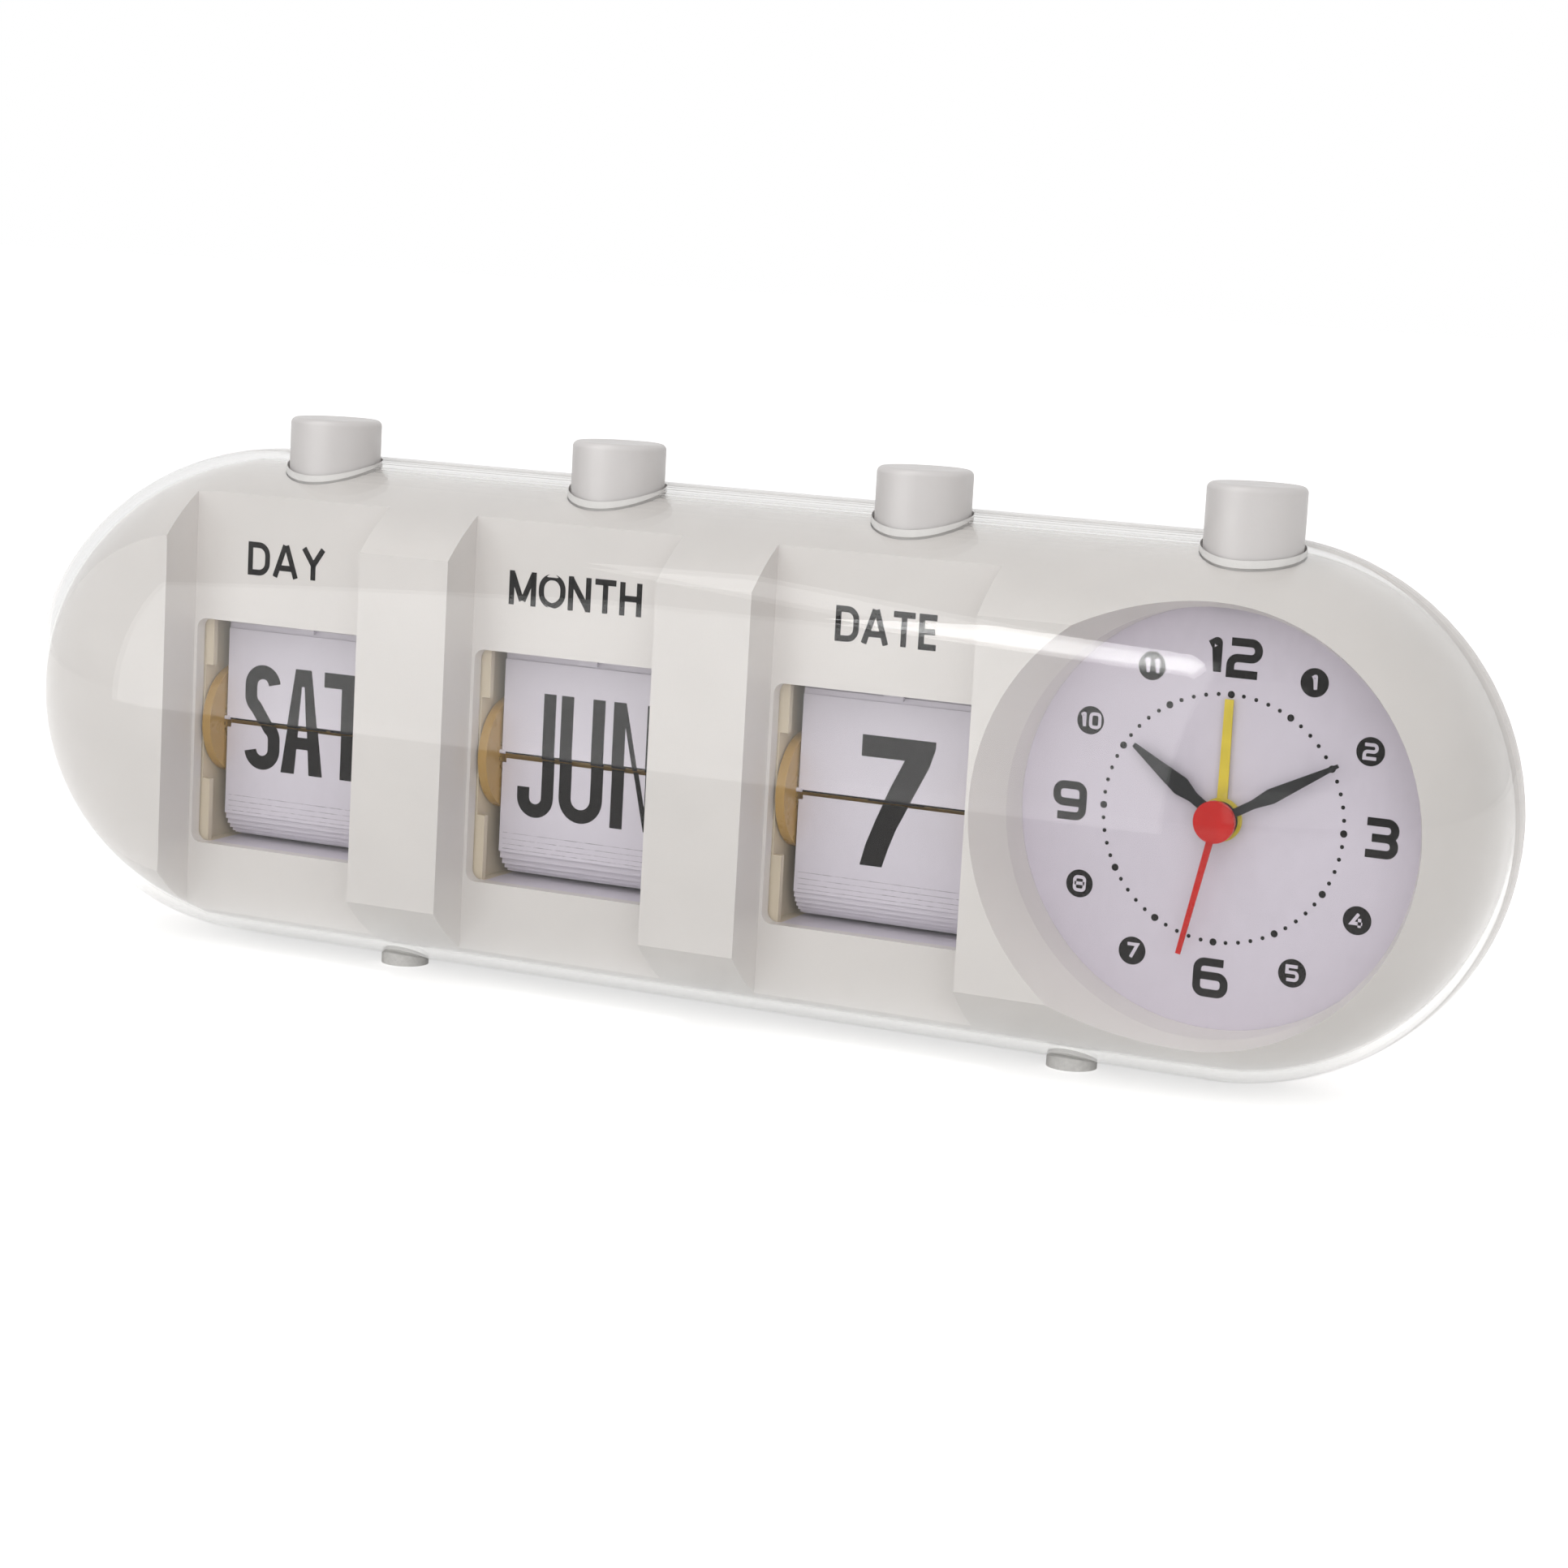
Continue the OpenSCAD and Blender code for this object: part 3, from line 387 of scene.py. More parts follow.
def enamel(name, colour, roughness):
    """Sprayed enamel on stamped metal: orange-peel relief and a thinner coat in places."""
    material, shader = new_material(name, colour, roughness)
    shader.inputs["Specular IOR Level"].default_value = ENAMEL_GLOSS
    peel = noise(material, 1700, 2)
    tint(material, shader, noise(material, 300, 3), colour, 0.9, 1.08)
    sheen(material, shader, peel, roughness * 0.8, roughness * 1.25)
    bump(material, shader, peel, PAINT_RELIEF)
    return material


def drawn_metal(name, colour, roughness, along=(1, 1, 0.05)):
    """Metal with fine drawing or brushing lines along one direction and light tarnish."""
    material, shader = new_material(name, colour, roughness)
    shader.inputs["Metallic"].default_value = 1.0
    lines = noise(material, 5200, 3, 0.6, along)
    tarnish = noise(material, 140, 4, 0.6)
    tint(material, shader, tarnish, colour, 0.8, 1.04)
    sheen(material, shader, lines, roughness * 0.7, roughness * 1.35)
    bump(material, shader, lines, FINE_RELIEF)
    return material


def board_laminate(name, colour):
    """Solder resist over glass weave."""
    material, shader = new_material(name, colour, 0.35)
    weave = add_node(material, "ShaderNodeTexChecker", scale=1800)
    wire(material, object_place(material), weave.inputs["Vector"])
    cloth = noise(material, 700, 3)
    tint(material, shader, cloth, colour, 0.8, 1.25)
    sheen(material, shader, cloth, 0.28, 0.45)
    bump(material, shader, weave.outputs["Fac"], WEAVE_RELIEF)
    return material


def rubber(name, colour):
    """Matt elastomer with dust in its pores."""
    material, shader = new_material(name, colour, 0.72)
    pores = noise(material, 1500, 4, 0.65)
    tint(material, shader, pores, colour, 0.88, 1.05)
    sheen(material, shader, pores, 0.62, 0.84)
    bump(material, shader, pores, COARSE_RELIEF)
    return material


def beyond(material, split_x):
    """Nought up to split_x on the piece and one beyond it."""
    parts = add_node(material, "ShaderNodeSeparateXYZ")
    wire(material, object_place(material), parts.inputs["Vector"])
    return spread(material, parts.outputs["X"], 0.0, 1.0, split_x - PAINT_EDGE, split_x + PAINT_EDGE)


def two_part_plastic(name, left, right, split_x):
    """Moulded plastic in one colour up to split_x and in another beyond it."""
    material = moulded_plastic(name, right, 0.42)
    mark = beyond(material, split_x)
    clouds = noise(material, 60, 4, 0.6)
    mix = add_node(material, "ShaderNodeMix", data_type="RGBA")
    wire(material, mark, mix.inputs[0])
    wire(material, two_tone(material, clouds, shade(left, 0.94), shade(left, 1.04)), mix.inputs[6])
    wire(material, two_tone(material, clouds, shade(right, 0.96), shade(right, 1.03)), mix.inputs[7])
    wire(material, mix.outputs[2], material.node_tree.nodes["Principled BSDF"].inputs["Base Color"])
    return material


def banded_wrap(name, dark, bright, split_x):
    """Shrink wrap of a plain cell in two colours that meet at split_x."""
    material, shader = new_material(name, dark, 0.28)
    mark = beyond(material, split_x)
    wire(material, two_tone(material, mark, dark, bright, 0.45, 0.55), shader.inputs["Base Color"])
    wrinkle = noise(material, 260, 3, 0.5, (0.2, 1, 1))
    sheen(material, shader, wrinkle, 0.22, 0.36)
    bump(material, shader, wrinkle, COARSE_RELIEF)
    return material


# Lettering: flat outlines in a plane of (right, up), in metres


def arc(centre, radius, start, end, steps=14):
    """Points of an arc from angle start to end, in degrees."""
    angles = [math.radians(start + (end - start) * i / steps) for i in range(steps + 1)]
    return [(centre[0] + radius * math.cos(a), centre[1] + radius * math.sin(a)) for a in angles]


def ribbon(path, width, closed=False):
    """The outline of a stroke along a path, with mitred corners; a closed path gives two loops."""
    left, right = [], []
    count = len(path)
    for i, point in enumerate(path):
        before = path[i - 1] if closed or i else None
        after = path[(i + 1) % count] if closed or i < count - 1 else None
        legs = ((before, point), (point, after))
        ways = [Vector((b[0] - a[0], b[1] - a[1])).normalized() for a, b in legs if a and b]
        along = sum(ways, Vector((0, 0))).normalized()
        reach = width / 2 / max(MITRE_LIMIT, along.dot(ways[0]))
        left.append((point[0] - along.y * reach, point[1] + along.x * reach))
        right.append((point[0] + along.y * reach, point[1] - along.x * reach))
    return [left, right[::-1]] if closed else [left + right[::-1]]


def rounded(corners, size, closed=False):
    """A path through corners (x, y) or (x, y, radius), in parts of size; a radius is a part of the height."""
    points = []
    count = len(corners)
    for i, corner in enumerate(corners):
        here = Vector((corner[0] * size[0], corner[1] * size[1]))
        ends = not closed and i in (0, count - 1)
        if len(corner) < 3 or ends:
            points.append(tuple(here))
            continue
        radius = corner[2] * size[1]
        beside = [corners[k % count] for k in (i - 1, i + 1)]
        near = [Vector((other[0] * size[0], other[1] * size[1])) for other in beside]
        first, last = [(other - here).normalized() for other in near]
        half = first.angle(last) / 2
        leg = min(radius / math.tan(half), 0.5 * min((other - here).length for other in near))
        middle = here + (first + last).normalized() * (leg / math.cos(half))
        start, end = here + first * leg - middle, here + last * leg - middle
        sweep = start.angle_signed(end)
        for k in range(ARC_STEPS + 1):
            turn = -sweep * k / ARC_STEPS
            points.append((middle.x + start.x * math.cos(turn) - start.y * math.sin(turn),
                           middle.y + start.x * math.sin(turn) + start.y * math.cos(turn)))
    return points


# Each sign: its width as a part of its height, and its strokes, with the corner radius R as a part of the
# height too. A stroke that starts with True is closed.
SIGNS = {
    "0": (0.72, [[True, (0, 0, R), (1, 0, R), (1, 1, R), (0, 1, R)]]),
    "1": (0.36, [[(0, 0.84), (0.75, 1, 0.05), (0.75, 0)]]),
    "2": (0.90, [[(0, 1), (1, 1, R), (1, 0.5, R), (0, 0.5, R), (0, 0), (1, 0)]]),
    "3": (0.90, [[(0, 1), (1, 1, R), (1, 0.5, R), (0.2, 0.5)], [(0.2, 0.5), (1, 0.5, R), (1, 0, R), (0, 0)]]),
    "4": (0.80, [[(0.62, 1), (0, 0.28), (1, 0.28)], [(0.74, 0.66), (0.74, 0)]]),
    "5": (0.80, [[(1, 1), (0, 1), (0, 0.56), (1, 0.56, R), (1, 0, R), (0, 0)]]),
    "6": (0.92, [[True, (0, 0, R), (1, 0, R), (1, 0.56, R), (0, 0.56)], [(0, 0.4), (0, 1, R), (0.94, 1)]]),
    "7": (0.78, [[(0, 1), (1, 1), (0.38, 0)]]),
    "8": (0.78, [[True, (0, 0, R), (1, 0, R), (1, 1, R), (0, 1, R)], [(0, 0.52), (1, 0.52)]]),
    "9": (0.90, [[True, (0, 0.44, R), (1, 0.44), (1, 1, R), (0, 1, R)], [(1, 0.6), (1, 0, R), (0.06, 0)]]),
    "A": (0.92, [[(0, -0.09), (0.47, 1.08)], [(0.53, 1.08), (1, -0.09)], [(0.2, 0.25), (0.8, 0.25)]]),
    "D": (0.76, [[True, (0, 0), (1, 0, 0.42), (1, 1, 0.42), (0, 1)]]),
    "E": (0.62, [[(1, 1), (0, 1), (0, 0), (1, 0)], [(0, 0.52), (0.9, 0.52)]]),
    "H": (0.72, [[(0, -0.08), (0, 1.08)], [(1, -0.08), (1, 1.08)], [(0, 0.52), (1, 0.52)]]),
    "M": (0.96, [[(0, -0.1), (0, 1.1)], [(1, -0.1), (1, 1.1)], [(0.03, 1), (0.47, 0.06)],
                 [(0.53, 0.06), (0.97, 1)]]),
    "N": (0.76, [[(0, -0.1), (0, 1.1)], [(1, -0.1), (1, 1.1)], [(0.02, 1), (0.98, 0)]]),
    "O": (0.94, [[True, (0, 0, 0.5), (1, 0, 0.5), (1, 1, 0.5), (0, 1, 0.5)]]),
    "T": (0.78, [[(-0.08, 1), (1.08, 1)], [(0.5, 1), (0.5, -0.08)]]),
    "Y": (0.84, [[(0, 1.06), (0.5, 0.46), (1, 1.06)], [(0.5, 0.52), (0.5, -0.08)]]),
}


def sign_mesh(name, words, height, stroke, thickness, gap, width=None):
    """Lettering in strokes of one width, centred on its box."""
    tall = height - stroke
    places, at = [], 0.0
    for sign in words:
        wide = SIGNS[sign][0] * tall
        places.append((sign, at, wide))
        at += wide + stroke + gap
    total = at - gap - stroke
    stretch = (width - stroke) / total if width else 1.0
    joined = bmesh.new()
    for sign, start, wide in places:
        for stroke_path in SIGNS[sign][1]:
            closed = stroke_path[0] is True
            path = rounded(stroke_path[1:] if closed else stroke_path, (wide * stretch, tall), closed)
            mesh = outline_mesh(name, ribbon(path, stroke, closed), thickness)
            mesh.transform(Matrix.Translation(((start - total / 2) * stretch, -tall / 2, 0)))
            joined.from_mesh(mesh)
            bpy.data.meshes.remove(mesh)
    return mesh_from(joined, name)


def glyph_t(w, h, s):
    """A T. Each glyph has width w, height h and strokes s wide, in millimetres."""
    return [[(0, h), (w, h), (w, h - s), ((w + s) / 2, h - s), ((w + s) / 2, 0), ((w - s) / 2, 0),
             ((w - s) / 2, h - s), (0, h - s)]]


def glyph_l(w, h, s):
    """An L."""
    return [[(0, h), (s, h), (s, s), (w, s), (w, 0), (0, 0)]]


def glyph_n(w, h, s):
    """An N whose slanting stroke runs from corner to corner."""
    return [[(0, 0), (0, h), (s, h), (w - s, 1.75 * s), (w - s, h), (w, h), (w, 0), (w - s, 0),
             (s, h - 1.75 * s), (s, 0)]]


def glyph_a(w, h, s):
    """An A whose bar stands at a quarter of its height."""
    top, bar, bar_t = 0.62 * s, 0.24 * h, 0.8 * s
    foot = 1.06 * s
    inner_top = h - 1.15 * s
    inner_half = 0.10 * s

    def side(y):
        return w / 2 - foot - (w / 2 - foot - inner_half) * y / inner_top

    middle = w / 2
    outer = [(0, 0), (middle - top, h), (middle + top, h), (w, 0), (w - foot, 0),
             (middle + side(bar), bar), (middle - side(bar), bar), (foot, 0)]
    hole = [(middle - side(bar + bar_t), bar + bar_t), (middle - inner_half, inner_top),
            (middle + inner_half, inner_top), (middle + side(bar + bar_t), bar + bar_t)]
    return [outer, hole]


def glyph_u(w, h, s):
    """A U with a round foot."""
    r = w / 2
    outer = [(0, h)] + arc((r, r), r, 180, 360) + [(w, h)]
    inner = [(w - s, h)] + arc((r, r), r - s, 360, 180) + [(s, h)]
    return [outer + inner]


def glyph_j(w, h, s):
    """A J with a round foot and a short tail."""
    r = w / 2
    outer = [(w, h)] + arc((r, r), r, 360, 180)
    tail = 0.24 * h
    inner = [(0, tail), (s, tail)] + arc((r, r), r - s, 180, 360) + [(w - s, h)]
    return [outer + inner]


def glyph_s(w, h, s):
    """An S of two open bowls joined by a slanting middle."""
    r = (w - s) / 2
    up = (h - s) / 2 - r
    top, low = h - s / 2 - r, s / 2 + r
    middle = w / 2
    path = arc((middle, top), r, 8, 180, 16)
    path += arc((middle, h / 2 + up * 0.42 + r * 0.62), r, 190, 236, 6)
    path += arc((middle, h / 2 - up * 0.42 - r * 0.62), r, 56, 10, 6)
    path += arc((middle, low), r, 0, -172, 16)
    return ribbon(path, s)


def glyph_7(w, h, s):
    """A 7 whose leg bends towards its foot."""
    outer = [(0, h), (w, h), (w, 0.945 * h), (0.925 * w, 0.80 * h), (0.73 * w, 0.56 * h),
             (0.52 * w, 0.30 * h), (0.43 * w, 0.15 * h), (0.355 * w, 0)]
    inner = [(0.05 * w, 0), (0.115 * w, 0.16 * h), (0.25 * w, 0.38 * h), (0.42 * w, 0.62 * h),
             (0.59 * w, h - s), (0, h - s)]
    return [outer + inner]


def glyph_8(w, h, s):
    """An 8 with a smaller upper bowl: an outer line with a waist, and two holes."""
    low_r, top_r = w / 2, 0.46 * w
    middle = w / 2
    low_y, top_y = 0.27 * h, 0.76 * h
    low_h, top_h = 0.27 * h, 0.24 * h
    outer = [(middle + low_r * math.cos(a), low_y + low_h * math.sin(a))
             for a in [math.radians(140 + 260 * i / 22) for i in range(23)]]
    outer += [(middle + top_r * math.cos(a), top_y + top_h * math.sin(a))
              for a in [math.radians(-40 + 260 * i / 22) for i in range(23)]]
    holes = []
    for centre, rx, ry in ((low_y, low_r - s, low_h - 0.9 * s), (top_y, top_r - s, top_h - 0.82 * s)):
        holes.append([(middle + rx * math.cos(math.radians(a)), centre + ry * math.sin(math.radians(a)))
                      for a in range(0, 360, 15)])
    return [outer] + holes


def placed(loops, x, y):
    """The loops, shifted by x and y."""
    return [[(x + px, y + py) for px, py in loop] for loop in loops]


def day_word(word):
    """SAT or SUN: loops in millimetres from the leaf's middle and the height of the hub."""
    height, low, stroke = 16.2, -10.6, 2.3
    first = glyph_s(6.4, height, 2.15)
    if word == "SAT":
        letters = [(first, -11.0), (glyph_a(7.5, height, stroke), -4.3), (glyph_t(8.6, height, stroke), 3.2)]
    else:
        letters = [(first, -11.0), (glyph_u(6.9, height, stroke), -3.2), (glyph_n(7.2, height, stroke), 4.4)]
    return [loop for letter, x in letters for loop in placed(letter, x, low)]


def month_word(word):
    """JUN or JUL in millimetres."""
    height, low, stroke = 18.7, -12.4, 2.05
    letters = [(glyph_j(6.1, height, stroke), -11.5), (glyph_u(7.3, height, stroke), -4.5)]
    if word == "JUN":
        letters.append((glyph_n(7.6, height, stroke), 4.2))
    else:
        letters.append((glyph_l(6.2, height, stroke), 4.4))
    return [loop for letter, x in letters for loop in placed(letter, x, low)]


def date_word(word):
    """7 or 8 in millimetres."""
    height, low, stroke = 18.7, -12.8, 3.1
    if word == "7":
        return placed(glyph_7(11.3, height, stroke), -4.7, low)
    return placed(glyph_8(11.6, height, stroke), -4.8, low)


WORDS = {
    "day": (day_word, "SAT", "SUN"),
    "month": (month_word, "JUN", "JUL"),
    "date": (date_word, "7", "8"),
}


def outline_mesh(name, loops, thickness):
    """A closed mesh from flat loops; a loop inside another is a hole. It faces +Z at z = thickness."""
    curve = bpy.data.curves.new(name, "CURVE")
    curve.dimensions = "2D"
    curve.fill_mode = "BOTH"
    for loop in loops:
        spline = curve.splines.new("POLY")
        spline.points.add(len(loop) - 1)
        for point, (x, y) in zip(spline.points, loop):
            point.co = (x, y, 0, 1)
        spline.use_cyclic_u = True
    curve.extrude = thickness / 2
    piece = new_object(name, curve)
    mesh = curve_mesh(piece, name)
    mesh.transform(Matrix.Translation((0, 0, thickness / 2)))
    return mesh


def curve_mesh(piece, name):
    """The final mesh of a curve object, which is then removed."""
    bpy.context.view_layer.update()
    evaluated = piece.evaluated_get(bpy.context.evaluated_depsgraph_get())
    mesh = bpy.data.meshes.new_from_object(evaluated)
    mesh.name = name
    data = piece.data
    bpy.data.objects.remove(piece)
    bpy.data.curves.remove(data)
    return mesh


def weld(mesh):
    """Joins the doubled points of a thin layer and turns its faces outwards."""
    work = bmesh.new()
    work.from_mesh(mesh)
    bmesh.ops.remove_doubles(work, verts=work.verts, dist=INK_WELD)
    bmesh.ops.recalc_face_normals(work, faces=work.faces)
    work.to_mesh(mesh)
    work.free()
    return mesh


def cut_mesh(mesh, y, keep_above):
    """Keeps the part of a closed layer above or below y, and closes the cut."""
    work = bmesh.new()
    work.from_mesh(mesh)
    geometry = list(work.verts) + list(work.edges) + list(work.faces)
    result = bmesh.ops.bisect_plane(work, geom=geometry, dist=CUT_SLACK, plane_co=(0, y, 0),
                                    plane_no=(0, 1, 0), clear_inner=keep_above,
                                    clear_outer=not keep_above)
    edges = [g for g in result["geom_cut"] if isinstance(g, bmesh.types.BMEdge)]
    bmesh.ops.holes_fill(work, edges=edges)
    bmesh.ops.recalc_face_normals(work, faces=work.faces)
    return mesh_from(work, mesh.name)


def facing_front(origin):
    """Puts a layer drawn in (right, up, out) on a plane that faces the viewer."""
    return Matrix.Translation(origin) @ Matrix.Rotation(math.radians(90), 4, "X")


def add_piece(name, mesh, body, material):
    """A visible piece from a mesh, which rides on a body."""
    piece = new_object(name, mesh)
    mesh.materials.clear()
    mesh.materials.append(material)
    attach(piece, body)
    return piece


# The clear cover, as one smooth shell


def pill_rings(radius, skirt_y, axis_y, axis_z, end_x):
    """Rings of the round front from its skirt to its ridge, each a loop round the pill."""
    rings = [(radius, skirt_y)]
    for i in range(COVER_STEPS + 1):
        angle = math.radians(90) * i / COVER_STEPS
        rings.append((radius * math.cos(angle), axis_y - radius * math.sin(angle)))
    loops = []
    for reach, y in rings:
        loop = []
        for side, turn in ((1, -90), (-1, 90)):
            for k in range(END_STEPS + 1):
                angle = math.radians(turn + 180 * k / END_STEPS)
                x, z = side * end_x + reach * math.cos(angle), axis_z + reach * math.sin(angle)
                loop.append(Vector((x, y, z)))
        loops.append(loop)
    return loops


def cover_shell(material, edge_material):
    """The cover with a wall of one thickness and a hole for each button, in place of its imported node."""
    low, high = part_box("clear_cover")
    radius = (high.z - low.z) / 2
    end_x = (high.x - low.x) / 2 - radius
    axis_y, axis_z = low.y + radius, (low.z + high.z) / 2
    work = bmesh.new()
    skins = []
    for reach in (radius, radius - COVER_WALL):
        skins.append([[work.verts.new(point) for point in loop]
                      for loop in pill_rings(reach, high.y, axis_y, axis_z, end_x)])
    for skin in skins:
        for ring, following in zip(skin, skin[1:]):
            join_loops(work, ring, following)
    join_loops(work, skins[0][0], skins[1][0])
    bmesh.ops.remove_doubles(work, verts=work.verts, dist=SHELL_WELD)
    bmesh.ops.dissolve_degenerate(work, edges=work.edges, dist=SHELL_WELD)
    bmesh.ops.recalc_face_normals(work, faces=work.faces)
    mesh = mesh_from(work, "cover_shell")
    piece = new_object("cover_shell", mesh)
    drill_button_holes(piece, axis_z + radius)
    for polygon in piece.data.polygons:
        polygon.use_smooth = True
    piece.data.materials.clear()
    piece.data.materials.append(material)
    piece.data.materials.append(edge_material)
    axes = [node_box(spring)[0] for spring in BUTTON_SPRINGS]
    for polygon in piece.data.polygons:
        if in_button_hole(polygon, axes):
            polygon.material_index = 1
    piece.data.set_sharp_from_angle(angle=SHARP_EDGE)
    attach(piece, "root")
    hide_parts("clear_cover")
    return piece


def in_button_hole(polygon, axes):
    """Whether a face of the cover is the sawn wall of a button hole."""
    if abs(polygon.normal.z) > UPRIGHT_NORMAL:
        return False
    return any((polygon.center - axis).to_2d().length < COVER_HOLE_R + COVER_HOLE_SLACK for axis in axes)


def add_disc(work, radius, depth, centre, sides):
    """Adds an upright cylinder about centre."""
    bmesh.ops.create_cone(work, cap_ends=True, segments=sides, radius1=radius, radius2=radius, depth=depth,
                          matrix=Matrix.Translation(centre))


def join_loops(work, first, second):
    """Joins two loops of vertices by a band of faces."""
    count = len(first)
    for i in range(count):
        k = (i + 1) % count
        work.faces.new((first[i], first[k], second[k], second[i]))


def drill_button_holes(piece, top_z):
    """Cuts a round hole under each button, a little wider than the button's cap."""
    drills = bmesh.new()
    depth = radius_of(piece) * DRILL_SHARE
    for spring in BUTTON_SPRINGS:
        middle, _ = node_box(spring)
        add_disc(drills, COVER_HOLE_R, depth, (middle.x, middle.y, top_z), DRILL_SIDES)
    mesh = mesh_from(drills, "cover_drills")
    cutter = new_object("cover_drills", mesh)
    modifier = piece.modifiers.new("holes", "BOOLEAN")
    modifier.operation = "DIFFERENCE"
    modifier.solver = "EXACT"
    modifier.object = cutter
    bpy.context.view_layer.update()
    drilled = bpy.data.meshes.new_from_object(piece.evaluated_get(bpy.context.evaluated_depsgraph_get()))
    piece.modifiers.clear()
    old = piece.data
    piece.data = drilled
    bpy.data.meshes.remove(old)
    bpy.data.objects.remove(cutter)
    bpy.data.meshes.remove(mesh)


def radius_of(piece):
    """Half the height of a piece."""
    heights = [vertex.co.z for vertex in piece.data.vertices]
    return (max(heights) - min(heights)) / 2


# Printing on the dial, the fascia and the leaves


def print_dots(face, ink):
    """The ring of minute dots, with larger dots at the hours."""
    dots = bmesh.new()
    for minute in range(60):
        angle = math.radians(6 * minute)
        radius = HOUR_DOT_R if minute % 5 == 0 else MINUTE_DOT_R
        centre = Vector((DOT_RING_R * math.sin(angle), DOT_RING_R * math.cos(angle), INK_T / 2))
        add_disc(dots, radius, INK_T, centre, DOT_SIDES)
    mesh = mesh_from(dots, "dial_dots")
    mesh.transform(face)
    add_piece("dial_dots", mesh, "root", ink)


def print_dial(ink, paper):
    """Minute dots, four big numerals and eight numerals knocked out of black discs."""
    face = facing_front((HUB.x, DIAL_FACE_Y, HUB.z))
    print_dots(face, ink)
    for hour in range(1, 13):
        angle = math.radians(30 * hour)
        direction = Vector((math.sin(angle), math.cos(angle), 0))
        name = "dial_numeral_%d" % hour
        if hour % 3 == 0:
            mesh = sign_mesh(name, str(hour), BIG_NUMERAL_H, BIG_STROKE, INK_T, BIG_GAP)
            mesh.transform(face @ Matrix.Translation(direction * BIG_NUMERAL_R))
            add_piece(name, mesh, "root", ink)
            continue
        place = face @ Matrix.Translation(direction * SMALL_NUMERAL_R)
        disc = bmesh.new()
        add_disc(disc, NUMERAL_DISC_R, INK_T, (0, 0, INK_T / 2), DISC_SIDES)
        mesh = mesh_from(disc, "dial_disc_%d" % hour)
        mesh.transform(place)
        add_piece("dial_disc_%d" % hour, mesh, "root", ink)
        mesh = sign_mesh(name, str(hour), SMALL_NUMERAL_H, SMALL_STROKE, INK_T / 2, SMALL_GAP)
        mesh.transform(place @ Matrix.Translation((0, 0, INK_T)))
        add_piece(name, mesh, "root", paper)


def print_labels(ink):
    """The words over the three windows, on the floor of their channels."""
    floor_y = CASE_AXIS_Y - FLOOR_FORWARD
    for module in MODULES:
        word, width, shift, up = LABELS[module]
        mesh = sign_mesh(module + "_label", word, LABEL_H, LABEL_STROKE, INK_T, LABEL_GAP, width)
        axis_x = JOINTS[module + "_drum_turn"]["pos_m"][0]
        mesh.transform(facing_front((axis_x + shift, floor_y, HUB.z + up)))
        add_piece(module + "_label", mesh, "root", ink)


def leaf_face(node, low, high=math.inf):
    """The front of a leaf pack between two heights, away from its pins, and that face's lowest point."""
    piece = frame["nodes"][node]
    points = [piece.matrix_world @ vertex.co for vertex in piece.data.vertices]
    front = min(point.y for point in points if low < point.z < high)
    return front, min(point.z for point in points if abs(point.y - front) < SAME_FACE)


def print_leaf_word(module, ink):
    """The word that shows now, the next word behind it and on the back of the leaf that falls."""
    make, now, following = WORDS[module]
    turn = JOINTS[module + "_drum_turn"]
    flip = JOINTS[module + "_leaf_flip"]
    axis_x = turn["pos_m"][0]
    split = turn["pos_m"][2] - HUB.z
    pin = Vector(flip["pos_m"])
    above, below = pin.z + PIN_REACH, pin.z - PIN_REACH
    front_y, _ = leaf_face(module + "_flip_leaf", above)
    lower_y, _ = leaf_face(module + "_lower_leaves", 0, below)
    behind_y, _ = leaf_face(module + "_upper_leaves", above)
    step = math.radians(turn["range_deg"][1])
    swing = math.radians(flip["range_deg"][1])
    for kind, word in (("now", now), ("next", following)):
        loops = [[(x * MM, y * MM) for x, y in loop] for loop in make(word)]
        whole = weld(outline_mesh("%s_word_%s" % (module, kind), loops, LEAF_INK_T))
        upper = cut_mesh(whole, split + SPLIT_GAP, True)
        lower = cut_mesh(whole, split - SPLIT_GAP, False)
        if kind == "now":
            upper.transform(facing_front((axis_x, front_y, HUB.z)))
            add_piece(module + "_leaf_print_upper", upper, module + "_flip", ink)
            lower.transform(facing_front((axis_x, lower_y, HUB.z)))
            add_piece(module + "_leaf_print_lower", lower, "root", ink)
            continue
        upper.transform(facing_front((axis_x, behind_y, HUB.z)))
        add_piece(module + "_next_print_upper", upper, "root", ink)
        # The lower half of the next word is printed on the back of the falling leaf: it is placed where
        # it reads right after the fall, and is turned back with the leaf and the drum.
        lower.transform(facing_front((axis_x, front_y, HUB.z)))
        drum = Vector(turn["pos_m"])
        back = Matrix.Translation(pin) @ Matrix.Rotation(-swing, 4, "X") @ Matrix.Translation(-pin)
        unturn = Matrix.Translation(drum) @ Matrix.Rotation(-step, 4, "X") @ Matrix.Translation(-drum)
        lower.transform(back @ unturn)
        add_piece(module + "_leaf_print_back", lower, module + "_flip", ink)


